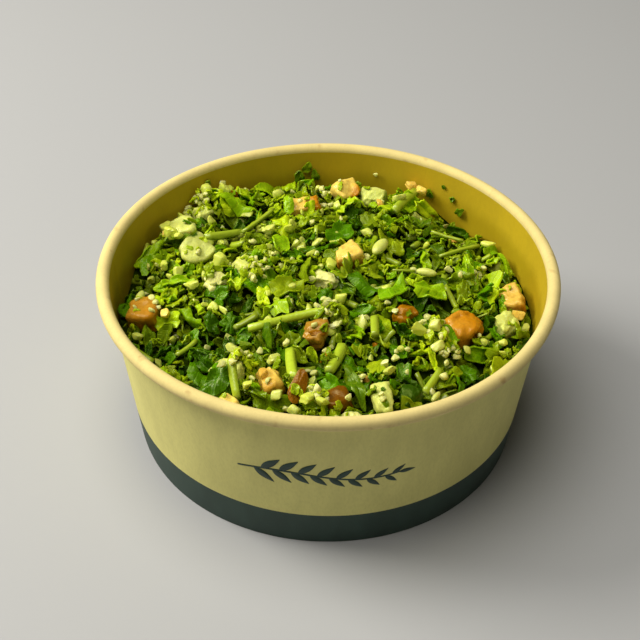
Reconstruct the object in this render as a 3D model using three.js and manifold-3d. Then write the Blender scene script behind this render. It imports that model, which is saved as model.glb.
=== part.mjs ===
// Tabbouleh salad in a round takeaway bowl of paper board: chopped parsley, stems and bulgur heaped
// in the bowl, with dice of tomato, cucumber and onion lying in the top of the heap.
// Millimetres, +Z up. The origin is the middle of the bowl's foot, on the surface it stands on.
import * as THREE from "three";
import { mergeVertices } from "three/addons/utils/BufferGeometryUtils.js";
import Module from "manifold-3d";

const wasm = await Module();
wasm.setup();

// ---- Driving dimensions -------------------------------------------------------------------

// Bowl
const RIM_RADIUS = 75; // outside of the rolled rim
const BOWL_HEIGHT = 61.5;
const FOOT_RADIUS = 64.5;
const BEAD_RADIUS = 2.15; // the rolled rim's own section
const BOARD = 0.6; // thickness of the paper board
const FOOT_FOLD = 1.6; // the board is folded in round the foot, three layers thick
const BASE_RISE = 6; // the base disc is set up inside the foot
const AROUND = 64; // facets round the bowl
const BEAD_STEP = 30; // degrees between the bead's corners
const NECK_ANGLE = -145; // where the wall's outer face runs into the bead, in degrees
const GAP = 0.3; // between pieces that touch
const FACET_LOSS = 0.15; // fused shapes are drawn with as few triangles as keep within this

// Heap
const HEAP_EDGE = 46.5; // mean height of the salad at the wall
const HEAP_DOME = 5.5; // how much higher it is in the middle
const HEAP_LEAN = 4; // how much it is banked up towards one side of the bowl
const LEAN_ANGLE = THREE.MathUtils.degToRad(135);
const HEAP_RADIUS = 68;
// Hollows and mounds in the heap: place, radius and how far they rise
const RELIEF = [
  { at: [-34, 40], radius: 9, rise: -4 },
  { at: [-9, 26], radius: 6, rise: -3 },
  { at: [9, 41], radius: 7, rise: -3 },
  { at: [28, 26], radius: 8, rise: -3 },
  { at: [43, 45], radius: 8, rise: -4 },
  { at: [33, -5], radius: 6, rise: -2.5 },
  { at: [-36, -23], radius: 9, rise: -3.5 },
  { at: [-54, -26], radius: 7, rise: -3 },
  { at: [-4, -30], radius: 5, rise: -3 },
  { at: [12, -33], radius: 6, rise: -2.5 },
  { at: [28, -38], radius: 6, rise: -2.5 },
  { at: [45, -35], radius: 9, rise: -3 },
  { at: [-66, 6], radius: 9, rise: -6 },
  { at: [-30, -9], radius: 5, rise: -2 },
  { at: [-41, 51], radius: 8, rise: 5 },
  { at: [30, 58], radius: 6, rise: 3.5 },
  { at: [-45, 15], radius: 9, rise: 1 },
  { at: [1, 11], radius: 10, rise: 1.5 },
  { at: [34, -20], radius: 6, rise: 2 },
  { at: [48, 15], radius: 8, rise: 2 },
  { at: [-24, 7], radius: 7, rise: 1 },
  { at: [-27, -38], radius: 7, rise: 1.5 },
  { at: [10, 0], radius: 5, rise: -2 },
  { at: [43, -2], radius: 5, rise: -2 },
  { at: [-37, -44], radius: 6, rise: -2 },
  { at: [-2, 62], radius: 6, rise: -2 },
  { at: [-16, 35], radius: 5, rise: 1.5 },
];
const LUMP_RISE = 1.5; // the salad's lumps rise and fall this far from its mean height
const LUMP_LENGTH = 24;
const CORE_DEPTH = 2; // the bare core lies this far under the tops of the pieces
const CORE_ROUGH = 0.9; // the core's corners are off its height by up to this
const CORE_CELL = 6; // from one corner to the next
const CORE_SHIFT = 1.5; // how far a corner may be off its place
const HEAP_CEILING = 56.4; // nothing stands above this height
const SEED = 11;
const SPREAD_TRIES = 12; // more of them spread the pieces more evenly

// Pieces that are fused to the heap. Each kind keeps its margin to the heap's edge and its room round
// the dice, lies its rise over the core, and is tilted at random by up to its tilt, in radians.
const LEAF = {
  count: 90,
  length: [8.5, 15],
  slimness: [0.55, 0.8], // width as a share of length
  thick: 0.8,
  teeth: [3, 4], // either number round a leaf
  notch: 0.68, // reach of the hollows between the teeth, as a share of the teeth's
  ragged: 0.16, // unevenness of that reach
  wave: 0.03, // teeth stand up and notches hang down by this share of the length
  cup: [0.1, 0.24], // rise or fall of the edge from the middle, as a share of the length
  warp: 0.5, // unevenness of the cup round the edge
  margin: 4,
  room: 1.5,
  rise: 0.1,
  tilt: 0.3,
};
const STEM = {
  count: 14,
  length: [8, 15],
  radius: [0.8, 1.3],
  sides: 5,
  steps: 2,
  bow: 0.05, // as a share of the length
  margin: 8,
  room: 3,
  rise: 0.8,
  tilt: 0.15,
};
const GRAIN = {
  count: 40,
  size: [2.8, 4],
  breadth: 0.75, // as shares of the size
  height: 0.62,
  uneven: 0.06,
  margin: 2,
  room: 0,
  rise: 0.8,
  tilt: 1.5,
};
const TOP_STEM_RISE = 1.2; // a top stem's middle line over the bare core

// Stems that lie clear on top of the heap: where each starts and ends, and its thickness
const TOP_STEMS = [
  { from: [-25.4, -18], to: [4, -7], thick: 2.8 },
  { from: [-12, -31], to: [-10, -43], thick: 3.4 },
  { from: [5, -25], to: [1, -37], thick: 3.6 },
  { from: [15, -12], to: [15, -22], thick: 2.6 },
  { from: [34, -36], to: [30, -43], thick: 2.6 },
  { from: [-42, 24], to: [-30, 32], thick: 2.4 },
  { from: [-28, 28], to: [-19, 43], thick: 2.2 },
  { from: [38, 22], to: [52, 30], thick: 2.1 },
  { from: [30, 34], to: [44, 28], thick: 2 },
];

// Dice that lie in the top of the heap, as large as berries: place, size, turn and tilt in degrees
const DICE = {
  tomato: [
    { at: [5.5, 19], size: [9, 9.5, 9], turn: 20, tilt: 14 },
    { at: [44.5, -12], size: [12, 10.5, 9.5], turn: 35, tilt: 12 },
    { at: [60.5, 5], size: [8, 11, 9], turn: 10, tilt: 16 },
    { at: [-58.5, -9.5], size: [9, 12, 9.5], turn: -12, tilt: 12 },
    { at: [6.5, 58], size: [8, 7.5, 7], turn: 28, tilt: 10 },
    { at: [-9, 48], size: [11, 7, 6], turn: 8, tilt: 12 },
    { at: [-18, -40], size: [6.5, 10.5, 8], turn: 24, tilt: 18 },
    { at: [-4.5, -22], size: [7.5, 8.5, 7], turn: -16, tilt: 10 },
    { at: [24.5, -10.5], size: [7, 5.5, 6], turn: 40, tilt: 12 },
    { at: [3.5, -47], size: [7.5, 7, 7], turn: 14, tilt: 14 },
    { at: [-30, -55], size: [9, 8, 8], turn: 50, tilt: 12 },
    { at: [40, -48], size: [8, 9, 8], turn: -30, tilt: 10 },
  ],
  cucumber: [
    { at: [-51.5, 33.5], size: [9.5, 8.5, 7.5], turn: 12, tilt: 12 },
    { at: [-45.5, 16.5], size: [9.5, 9, 8], turn: 38, tilt: 16 },
    { at: [16.5, 57], size: [9.5, 7, 6.5], turn: -8, tilt: 10 },
    { at: [58.5, -8.5], size: [8, 8, 7.5], turn: 24, tilt: 12 },
    { at: [-23.5, 8.5], size: [9.5, 9.5, 6.5], turn: 30, tilt: 12 },
    { at: [17.5, -48], size: [6, 10, 8], turn: 8, tilt: 14 },
    { at: [26, -47], size: [7, 9.5, 8], turn: -14, tilt: 10 },
    { at: [-29.5, -38.5], size: [10, 8, 7], turn: -22, tilt: 12 },
    { at: [-45, 43], size: [6.5, 6, 6], turn: 40, tilt: 10 },
  ],
  onion: [
    { at: [-0.5, 5], size: [9.5, 5.5, 4.5], turn: -28, tilt: 12 },
    { at: [8.5, -55.5], size: [7, 6, 5.5], turn: 10, tilt: 10 },
    { at: [-38, 2], size: [8, 5, 4.5], turn: 52, tilt: 14 },
  ],
};
const DICE_SINK = 1.5; // a die's middle is this far under the heap's mean height
const DICE_ROUNDING = 0.08;
const DICE_JITTER = 0.1;

// ---- Materials ----------------------------------------------------------------------------

const finish = (color, roughness) => new THREE.MeshStandardMaterial({ color, roughness, metalness: 0 });
const PAPER = finish(0xc9b974, 0.75);
const PARSLEY = finish(0x3f7a12, 0.45);
const DICE_FINISH = {
  tomato: finish(0xe07a2a, 0.35),
  cucumber: finish(0xcfd87a, 0.35),
  onion: finish(0xeee3a8, 0.4),
};

// ---- Sizes that follow from them ----------------------------------------------------------

const BEAD_MIDDLE = RIM_RADIUS - BEAD_RADIUS;
const BEAD_HEIGHT = BOWL_HEIGHT - BEAD_RADIUS;
const WALL_SLOPE = (RIM_RADIUS - 2 * BEAD_RADIUS + BOARD - FOOT_RADIUS) / BEAD_HEIGHT;
const outerRadius = (z) => FOOT_RADIUS + WALL_SLOPE * z;
const innerRadius = (z) => outerRadius(z) - BOARD;
const BASE_BOTTOM = BASE_RISE + GAP;
const HEAP_BOTTOM = BASE_BOTTOM + BOARD + GAP;

// ---- Helpers ------------------------------------------------------------------------------

// A repeatable draw of numbers from 0 to 1
function draw(seed) {
  let state = seed;
  return () => {
    state = (state + 0x6d2b79f5) | 0;
    let t = Math.imul(state ^ (state >>> 15), 1 | state);
    t = (t + Math.imul(t ^ (t >>> 7), 61 | t)) ^ t;
    return ((t ^ (t >>> 14)) >>> 0) / 4294967296;
  };
}
const random = draw(SEED);
const between = ([low, high]) => low + (high - low) * random();
const swing = (size) => size * (2 * random() - 1);

// Only the places of a geometry, with shared vertices merged
function bare(geometry) {
  geometry.deleteAttribute("normal");
  geometry.deleteAttribute("uv");
  return mergeVertices(geometry, 1e-4);
}

function solidOf(geometry) {
  const merged = bare(geometry);
  const mesh = new wasm.Mesh({
    numProp: 3,
    vertProperties: new Float32Array(merged.attributes.position.array),
    triVerts: new Uint32Array(merged.index.array),
  });
  return new wasm.Manifold(mesh);
}

function geometryOf(solid) {
  const mesh = solid.getMesh();
  return new THREE.BufferGeometry()
    .setAttribute("position", new THREE.BufferAttribute(mesh.vertProperties, 3))
    .setIndex(new THREE.BufferAttribute(mesh.triVerts, 1));
}

function shown(name, geometry, material) {
  const flat = geometry.toNonIndexed();
  flat.computeVertexNormals();
  const mesh = new THREE.Mesh(flat, material);
  mesh.name = name;
  return mesh;
}

// A closed profile of [radius, height] points turned round the bowl's axis
function turned(profile) {
  const points = profile.map(([radius, height]) => new THREE.Vector2(radius, height));
  return new THREE.LatheGeometry(points, AROUND).rotateX(Math.PI / 2);
}

// Moves each vertex by a rule that takes and returns a THREE.Vector3
function reshaped(geometry, rule) {
  const place = geometry.attributes.position;
  const point = new THREE.Vector3();
  for (let i = 0; i < place.count; i++) {
    rule(point.fromBufferAttribute(place, i));
    place.setXYZ(i, point.x, point.y, point.z);
  }
  return geometry;
}

// ---- Bowl ---------------------------------------------------------------------------------

// The wall is one sheet: folded in at the foot, leaning out to the neck and rolled over into the rim
function bowlWall() {
  const onBead = (degrees) => {
    const angle = THREE.MathUtils.degToRad(degrees);
    return [BEAD_MIDDLE + BEAD_RADIUS * Math.cos(angle), BEAD_HEIGHT + BEAD_RADIUS * Math.sin(angle)];
  };
  const bead = [];
  for (let degrees = -180 + 2 * BEAD_STEP; degrees <= 180; degrees += BEAD_STEP) bead.push(onBead(degrees));
  const profile = [
    [FOOT_RADIUS - FOOT_FOLD, 0],
    [FOOT_RADIUS, 0],
    onBead(NECK_ANGLE),
    ...bead,
    [innerRadius(BASE_RISE), BASE_RISE],
    [outerRadius(BASE_RISE) - FOOT_FOLD, BASE_RISE],
    [FOOT_RADIUS - FOOT_FOLD, 0],
  ];
  return turned(profile);
}

function bowlBase() {
  const edge = innerRadius(BASE_BOTTOM) - GAP;
  return turned([
    [0, BASE_BOTTOM],
    [edge, BASE_BOTTOM],
    [edge, BASE_BOTTOM + BOARD],
    [0, BASE_BOTTOM + BOARD],
  ]);
}

// ---- Heap ---------------------------------------------------------------------------------

// Mean height of the salad's surface: a low dome, banked up towards one side, with its relief
function heapHeight(x, y) {
  const out = Math.min(1, (x * x + y * y) / (HEAP_RADIUS * HEAP_RADIUS));
  const lean = (x * Math.cos(LEAN_ANGLE) + y * Math.sin(LEAN_ANGLE)) / HEAP_RADIUS;
  const relief = RELIEF.map(({ at, radius, rise }) => {
    const away = Math.hypot(x - at[0], y - at[1]) / radius;
    return rise * Math.exp(-away * away);
  });
  return relief.reduce((sum, rise) => sum + rise, HEAP_EDGE + HEAP_DOME * (1 - out) + HEAP_LEAN * lean);
}

// Uneven bumps from -1 to 1, about half a length apart
function lumps(x, y) {
  const wave = (2 * Math.PI) / LUMP_LENGTH;
  const first = Math.sin(wave * (x + 0.4 * y)) * Math.cos(wave * (0.9 * y - 0.3 * x));
  const second = Math.sin(wave * (1.7 * y - 0.6 * x) + 1) * Math.cos(wave * (1.3 * x + 0.7 * y) + 2);
  return 0.6 * first + 0.4 * second;
}

// Height of the bare core under the pieces
const coreHeight = (x, y) => heapHeight(x, y) + LUMP_RISE * lumps(x, y) - CORE_DEPTH;

// The space in the bowl that the salad may fill
function bowlSpace(top) {
  return solidOf(
    turned([
      [0, HEAP_BOTTOM],
      [innerRadius(HEAP_BOTTOM) - GAP, HEAP_BOTTOM],
      [innerRadius(top) - GAP, top],
      [0, top],
    ]),
  );
}

// The bare core: a block with a lumpy, rough top, trimmed to the bowl
function core() {
  const cells = Math.round((2 * RIM_RADIUS) / CORE_CELL);
  const width = cells * CORE_CELL;
  const block = bare(new THREE.BoxGeometry(width, width, 2, cells, cells, 1));
  reshaped(block, (point) => {
    const top = point.z > 0;
    point.x += top ? swing(CORE_SHIFT) : 0;
    point.y += top ? swing(CORE_SHIFT) : 0;
    point.z = top ? coreHeight(point.x, point.y) + swing(CORE_ROUGH) : 0;
  });
  return solidOf(block).intersect(bowlSpace(HEAP_CEILING));
}

// Places for one kind of piece, spread evenly over the heap and clear of the dice: each is the best
// of a few draws
function spread({ count, margin, room: diceRoom }) {
  const reach = HEAP_RADIUS - margin;
  const places = [];
  while (places.length < count) {
    let best = null;
    for (let i = 0; i < SPREAD_TRIES; i++) {
      const angle = 2 * Math.PI * random();
      const radius = reach * Math.sqrt(random());
      const place = new THREE.Vector2(radius * Math.cos(angle), radius * Math.sin(angle));
      const room = Math.min(...places.map((other) => other.distanceTo(place)), reach);
      if (!best || room > best.room) best = { place, room };
    }
    places.push(best.place);
  }
  return places.filter((place) => clearOfDice(place, diceRoom));
}

// A chopped leaf: a thin wavy plate with teeth round it, both faces split into triangles alike.
// Its edge stands above its middle where cup is over 0, and below it otherwise.
function leaf(length, cup) {
  const width = length * between(LEAF.slimness);
  const corners = 2 * LEAF.teeth[random() < 0.5 ? 0 : 1];
  const outline = [];
  for (let i = 0; i < corners; i++) {
    const isNotch = i % 2 === 1;
    const angle = (2 * Math.PI * i) / corners;
    const reach = (isNotch ? LEAF.notch : 1) * (1 + swing(LEAF.ragged));
    const x = 0.5 * length * reach * Math.cos(angle);
    const y = 0.5 * width * reach * Math.sin(angle);
    outline.push([x, y, cup * (1 + swing(LEAF.warp)) + (isNotch ? -1 : 1) * LEAF.wave * length]);
  }
  const half = LEAF.thick / 2;
  const place = [[0, 0, half], [0, 0, -half]];
  for (const side of [half, -half]) {
    for (const [x, y, z] of outline) place.push([x, y, z + side]);
  }
  const face = [];
  for (let i = 0; i < corners; i++) {
    const next = (i + 1) % corners;
    const [top, topNext] = [2 + i, 2 + next];
    const [low, lowNext] = [top + corners, topNext + corners];
    face.push([0, top, topNext], [1, lowNext, low], [top, low, lowNext], [top, lowNext, topNext]);
  }
  return new THREE.BufferGeometry()
    .setAttribute("position", new THREE.Float32BufferAttribute(place.flat(), 3))
    .setIndex(face.flat());
}

// A cut length of stem, slightly bowed
function stem(from, to, radius) {
  const length = from.distanceTo(to);
  const middle = from.clone().lerp(to, 0.5);
  middle.x += swing(STEM.bow) * length;
  middle.z += STEM.bow * length;
  const section = new THREE.Shape();
  for (let i = 0; i < STEM.sides; i++) {
    const angle = (2 * Math.PI * i) / STEM.sides;
    section.lineTo(radius * Math.cos(angle), radius * Math.sin(angle));
  }
  const extrudePath = new THREE.CatmullRomCurve3([from, middle, to]);
  return new THREE.ExtrudeGeometry(section, { steps: STEM.steps, extrudePath });
}

// A cracked grain of bulgur
function grain(size) {
  const nugget = bare(new THREE.IcosahedronGeometry(0.5, 0));
  return reshaped(nugget, (point) => {
    point.multiply(new THREE.Vector3(size, GRAIN.breadth * size, GRAIN.height * size));
    point.addScalar(swing(GRAIN.uneven * size));
  });
}

// Turned about the upright, tilted, and set down over the core at x, y
function laid(geometry, { x, y }, rise, tilt) {
  const turn = new THREE.Euler(swing(tilt), swing(tilt), 2 * Math.PI * random(), "ZYX");
  const place = new THREE.Vector3(x, y, coreHeight(x, y) + rise);
  const matrix = new THREE.Matrix4().makeRotationFromEuler(turn).setPosition(place);
  return geometry.applyMatrix4(matrix);
}

function clearOfDice(place, room) {
  return dicePlaces.every(({ at, size }) => {
    const reach = 0.5 * Math.max(...size);
    return Math.hypot(place.x - at[0], place.y - at[1]) > reach + room;
  });
}

function leaves() {
  return spread(LEAF).map((place, i) => {
    const length = between(LEAF.length);
    const cup = (i % 2 ? 1 : -1) * length * between(LEAF.cup);
    return laid(leaf(length, cup), place, LEAF.rise - Math.min(0, cup) / 2, LEAF.tilt);
  });
}

function topStems() {
  return TOP_STEMS.map(({ from, to, thick }) => {
    const ends = [from, to].map(([x, y]) => new THREE.Vector3(x, y, coreHeight(x, y) + TOP_STEM_RISE));
    return stem(...ends, thick / 2);
  });
}

function looseStems() {
  return spread(STEM).map((place) => {
    const end = new THREE.Vector3(between(STEM.length) / 2, 0, 0);
    const rod = stem(end.clone().negate(), end, between(STEM.radius));
    return laid(rod, place, STEM.rise, STEM.tilt);
  });
}

function grains() {
  return spread(GRAIN).map((place) => laid(grain(between(GRAIN.size)), place, GRAIN.rise, GRAIN.tilt));
}

// ---- Dice ---------------------------------------------------------------------------------

const dicePlaces = Object.values(DICE).flat();

// Moves a geometry from the origin to where a die lies
function asDieLies(geometry, { at, turn, tilt }) {
  const lay = new THREE.Euler(...[tilt, -tilt / 2, turn].map(THREE.MathUtils.degToRad), "ZYX");
  const place = new THREE.Vector3(...at, heapHeight(...at) - DICE_SINK);
  return geometry.applyMatrix4(new THREE.Matrix4().makeRotationFromEuler(lay).setPosition(place));
}

// A knife-cut die with softened corners
function die(place, chance) {
  const block = bare(new THREE.BoxGeometry(2, 2, 2, 2, 2, 2));
  reshaped(block, (point) => {
    const soften = 1 - DICE_ROUNDING * (point.lengthSq() - 1);
    const wobble = () => 1 + DICE_JITTER * (2 * chance() - 1);
    point.multiplyScalar(point.lengthSq() > 0 ? soften : 1);
    point.multiply(new THREE.Vector3(wobble(), wobble(), wobble()));
    point.multiply(new THREE.Vector3(...place.size).divideScalar(2));
  });
  return asDieLies(block, place);
}

// The room that a die takes in the heap
function hollow(place) {
  const sides = place.size.map((side) => side * (1 + DICE_JITTER) + 2 * GAP);
  return solidOf(asDieLies(new THREE.BoxGeometry(...sides), place));
}

// ---- The salad as one heap ----------------------------------------------------------------

function salad() {
  const parts = [...leaves(), ...topStems(), ...looseStems(), ...grains()].map(solidOf);
  const heap = wasm.Manifold.union([core(), ...parts]).intersect(bowlSpace(HEAP_CEILING));
  const trimmed = heap.subtract(wasm.Manifold.union(dicePlaces.map(hollow))).simplify(FACET_LOSS);
  // Scraps that the trimming cut loose are left out, and so are sealed hollows
  return trimmed.decompose().reduce((a, b) => (a.volume() > b.volume() ? a : b));
}

// ---- The whole ----------------------------------------------------------------------------

const group = new THREE.Group();
group.add(shown("bowl_wall", bowlWall(), PAPER));
group.add(shown("bowl_base", bowlBase(), PAPER));
group.add(shown("salad", geometryOf(salad()), PARSLEY));

let index = 0;
for (const [kind, places] of Object.entries(DICE)) {
  places.forEach((place, i) => {
    const name = `${kind}_${i + 1}`;
    group.add(shown(name, die(place, draw(SEED + index)), DICE_FINISH[kind]));
    index += 1;
  });
}

export default group;
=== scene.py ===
"""Tabbouleh salad in a round paper bowl: the looks of every piece of it.

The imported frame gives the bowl, the heap and its dice. Here the bowl gets its rolled rim and its
print, and the heap becomes chopped leaves, stems and grains that lie on each other. Metres, +Z up.
"""

import math
from functools import partialmethod

import bmesh
import bpy
import numpy as np
from bpy.props import EnumProperty, FloatProperty, FloatVectorProperty, IntProperty, PointerProperty
from mathutils import Matrix, Vector, noise
from mathutils.bvhtree import BVHTree


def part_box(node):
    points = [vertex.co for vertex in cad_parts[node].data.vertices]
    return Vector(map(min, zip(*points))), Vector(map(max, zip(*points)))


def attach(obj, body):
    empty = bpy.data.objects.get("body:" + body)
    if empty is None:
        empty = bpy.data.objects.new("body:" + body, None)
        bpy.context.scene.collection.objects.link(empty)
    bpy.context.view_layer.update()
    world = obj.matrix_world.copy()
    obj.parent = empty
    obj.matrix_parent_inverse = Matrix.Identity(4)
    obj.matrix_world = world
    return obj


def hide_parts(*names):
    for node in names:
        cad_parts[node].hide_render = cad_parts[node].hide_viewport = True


bl_info = {
    "name": "Tabbouleh Salad",
    "version": (1, 0, 0),
    "blender": (4, 5, 0),
    "location": "3D View > Sidebar > Tabbouleh",
    "description": "Builds a paper bowl of tabbouleh salad around its packed frame",
    "category": "Object",
}

MM = 0.001
BODY = "root"
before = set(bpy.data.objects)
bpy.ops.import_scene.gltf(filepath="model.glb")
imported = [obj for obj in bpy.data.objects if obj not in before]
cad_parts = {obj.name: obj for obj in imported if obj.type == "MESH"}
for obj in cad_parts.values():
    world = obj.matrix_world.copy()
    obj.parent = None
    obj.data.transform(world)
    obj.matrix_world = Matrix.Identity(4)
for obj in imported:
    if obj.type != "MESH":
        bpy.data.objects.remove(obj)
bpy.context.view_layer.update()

# ---- Sizes of the bowl, from the frame ----------------------------------------------------------

_, WALL_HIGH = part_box("bowl_wall")
BASE_LOW, BASE_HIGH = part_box("bowl_base")
RIM_RADIUS = WALL_HIGH.x
BOWL_HEIGHT = WALL_HIGH.z
FOOT_RADIUS = max(v.co.xy.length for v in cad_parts["bowl_wall"].data.vertices if v.co.z < MM)
FOOT_FOLD = 1.6 * MM  # from the foot's outer face to that of the fold inside it
BOARD = BASE_HIGH.z - BASE_LOW.z
BEAD_RADIUS = 2.15 * MM  # of the rolled rim
BEAD_MIDDLE = RIM_RADIUS - BEAD_RADIUS
BEAD_HEIGHT = BOWL_HEIGHT - BEAD_RADIUS
NECK_RADIUS = BEAD_MIDDLE - BEAD_RADIUS + BOARD  # of the wall's outer face at the rolled rim
WALL_SLOPE = (NECK_RADIUS - FOOT_RADIUS) / BEAD_HEIGHT
WALL_CLEAR = 0.4 * MM  # between the wall and the salad

# ---- Sizes of the heap --------------------------------------------------------------------------

HEAP_RADIUS = 68 * MM
HEAP_EDGE = 46.5 * MM  # mean height of the salad at the wall
HEAP_DOME = 5.5 * MM  # its middle is this much higher
HEAP_LEAN = 4 * MM  # the heap is banked up towards one side
LEAN_ANGLE = math.radians(135)
HEAP_CEILING = 57.6 * MM  # no piece of the heap is higher
# Hollows and mounds in the heap: place, radius and how far they rise, in millimetres
RELIEF = [
    ((-34, 40), 9, -4), ((-9, 26), 6, -3), ((9, 41), 7, -3), ((28, 26), 8, -3), ((43, 45), 8, -4),
    ((33, -5), 6, -2.5), ((-36, -23), 9, -3.5), ((-54, -26), 7, -3), ((-4, -30), 5, -3),
    ((12, -33), 6, -2.5), ((28, -38), 6, -2.5), ((45, -35), 9, -3), ((-66, 6), 9, -6),
    ((-30, -9), 5, -2), ((-41, 51), 8, 5), ((30, 58), 6, 3.5), ((-45, 15), 9, 1), ((1, 11), 10, 1.5),
    ((34, -20), 6, 2), ((48, 15), 8, 2), ((-24, 7), 7, 1), ((-27, -38), 7, 1.5), ((10, 0), 5, -2),
    ((43, -2), 5, -2), ((-37, -44), 6, -2), ((-2, 62), 6, -2), ((-16, 35), 5, 1.5),
]
# Where the leaves are lighter or darker, partly their own tone and partly painted light and painted
# shade: place, radius and how much
TONE_AND_LIGHT_SPOTS = [
    ((27, 51), 8, 0.3), ((38, 46), 8, 0.25), ((5.6, -10), 6, 0.2), ((36, -25), 8, 0.25),
    ((-24, -35), 7, 0.25), ((-3, -50), 6, 0.3), ((59, 23), 9, 0.15), ((-37, -31), 7, -0.3),
    ((-19.6, -23), 6, -0.2), ((-37, -4), 7, -0.3), ((14, -46), 5, -0.3), ((-9, 21), 6, -0.3),
    ((-54, -14), 6, 0.2), ((17, 17), 6, 0.2), ((-3, 10), 6, 0.25), ((-7, 41), 6, 0.2),
    ((-24, -48), 5, 0.3), ((-21, 6), 6, 0.2), ((14, -44), 6, -0.2), ((-33, -45), 6, -0.3),
    ((56, 4), 6, 0.25), ((28, 29), 7, -0.2), ((33, -11), 7, -0.35), ((10, 1), 6, -0.15),
    ((9, 42), 6, -0.25), ((-34, 39), 7, -0.25), ((52, -16), 6, -0.2),
]
# Gaps between the pieces that later layers leave open; the pieces in them get full painted shade: place
# and radius
GAPS = [
    ((-33, 40), 5.5), ((-38, 39), 4), ((-64, 10), 4), ((-3.5, -33), 2.5), ((-14, -46), 2.5),
    ((11, -47), 2.5), ((38, -5), 4), ((38, -43), 3.5),
]
PALE_SIDE = ((-30, 25), 36)  # place and radius of the part where more of the pale bits lie
PALE_SHARE = 0.5  # of the pale bits is laid there, and the rest anywhere
MEAN_TONE = 0.54  # of the leaves
TONE_WEIGHT = 1.4  # of the spots in TONE_AND_LIGHT_SPOTS
CORE_DEPTH = 4.4 * MM  # of the core under the tops of the pieces
LUMP_RISE = 1.5 * MM  # the tops' lumps rise and fall this far from the mean height
LUMP_LENGTH = 24 * MM
PAINTED_SHADE_START = 0.6 * MM  # pieces this far under the mean height begin to get painted shade
PAINTED_SHADE_DEPTH = 4 * MM


def metres(at):
    """An array in metres from numbers in millimetres."""
    return MM * np.array(at)


def wall_radius(z):
    """Radius of the wall's outer face at a height."""
    return FOOT_RADIUS + WALL_SLOPE * z


def spots(x, y, places):
    """The sum at a place of round spots that fade out: each has a place, a radius and a strength."""
    total = 0 * x
    for (middle_x, middle_y), radius, strength in places:
        away = ((x / MM - middle_x) ** 2 + (y / MM - middle_y) ** 2) / radius**2
        total = total + strength * np.exp(-away)
    return total


def relief(x, y):
    """How far the hollows and mounds rise at a place."""
    return MM * spots(x, y, RELIEF)


def in_gap(x, y):
    """Whether a place lies in one of the dark gaps."""
    inside = False
    for (middle_x, middle_y), radius in GAPS:
        inside = inside | (np.hypot(x - MM * middle_x, y - MM * middle_y) < MM * radius)
    return inside


def off_middle(x, y):
    """0 in the middle of the heap, 1 at the wall."""
    return np.minimum(1, (x * x + y * y) / HEAP_RADIUS**2)


def banked(x, y):
    """1 at the heap's high side, -1 at its low side."""
    return (x * math.cos(LEAN_ANGLE) + y * math.sin(LEAN_ANGLE)) / HEAP_RADIUS


def heap_height(x, y):
    """Mean height of the salad's top: a low dome, banked up towards one side, with its relief."""
    dome = HEAP_DOME * (1 - off_middle(x, y))
    return HEAP_EDGE + dome + HEAP_LEAN * banked(x, y) + relief(x, y)


def lumps(x, y, length):
    """Uneven bumps from -1 to 1, about one length apart."""
    wave = 2 * math.pi / length
    first = np.sin(wave * (x + 0.4 * y)) * np.cos(wave * (0.9 * y - 0.3 * x))
    second = np.sin(wave * (1.7 * y - 0.6 * x) + 1) * np.cos(wave * (1.3 * x + 0.7 * y) + 2)
    return 0.6 * first + 0.4 * second


def top_height(x, y):
    """Height of the pieces' tops, with lumps."""
    return heap_height(x, y) + LUMP_RISE * lumps(x, y, LUMP_LENGTH)


def core_height(x, y):
    """Height of the dark core that the pieces lie on."""
    return top_height(x, y) - CORE_DEPTH


def patch(x, y):
    """How light the leaves are at a place, about 0.5 in the mean: partly the leaves' own tone and partly
    painted light and shade. Hollows are darker than mounds with painted shade, and the high side is
    lighter than the low one and the edge lighter than the middle with painted light."""
    mixed = 0.15 * lumps(y, x, 40 * MM) + 0.1 * lumps(y, x, 15 * MM) + 0.2 * lumps(x, y, LUMP_LENGTH)
    slow = 0.16 * banked(x, y) + 0.1 * off_middle(x, y)
    return MEAN_TONE + mixed + slow + 0.1 * relief(x, y) / MM + TONE_WEIGHT * spots(x, y, TONE_AND_LIGHT_SPOTS)


# ---- Settings -----------------------------------------------------------------------------------


def linear(value):
    """Linear light for a display value from 0 to 255, by the sRGB curve."""
    return ((value / 255 + 0.055) / 1.055) ** 2.4 if value > 10 else value / 255 / 12.92


def tint(name, description, rgb):
    """A colour setting. Its default is given in display values from 0 to 255."""
    return FloatVectorProperty(name=name, description=description, subtype="COLOR", size=3,
                               default=[linear(value) for value in rgb], min=0, max=1)


def length(name, description, value):
    """A length setting, in metres."""
    return FloatProperty(name=name, description=description, default=value, unit="LENGTH")


def power(name, description, value):
    """A light's power, in watts."""
    return FloatProperty(name=name, description=description, default=value, unit="POWER")


def number(name, description, value):
    """A setting that counts."""
    return IntProperty(name=name, description=description, default=value, min=0)


class BowlSettings(bpy.types.PropertyGroup):
    paper: tint("Paper", "Colour of the board outside", (228, 221, 140))
    rim: tint("Rim", "Colour of the rolled rim", (229, 210, 142))
    lining: tint("Lining", "Colour of the board inside", (202, 174, 22))
    ink: tint("Ink", "Colour of the printed band and sprig", (48, 70, 62))
    stain: tint("Stain", "Colour of the spots of dressing on the rim", (150, 92, 34))
    band: length("Band height", "Height of the printed band over the foot", 13.8 * MM)
    facets: number("Facets", "Facets round the bowl", 224)


class HeapSettings(bpy.types.PropertyGroup):
    seed: number("Seed", "Another number gives another heap", 7)
    leaves: number("Leaves", "Chopped leaves in the heap", 1900)
    flakes: number("Flakes", "Fine chopped bits of leaf", 1900)
    stems: number("Stems", "Cut lengths of stem", 110)
    grains: number("Grains", "Loose grains of bulgur", 110)
    clumps: number("Clumps", "Clumps of grains and fine bits", 26)
    bits: number("Bits", "Small bits of onion and cucumber", 230)
    crumbs: number("Crumbs", "Small bits of tomato", 15)
    leaf_thickness: length("Leaf thickness", "Thickness of a leaf", 0.5 * MM)


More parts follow.
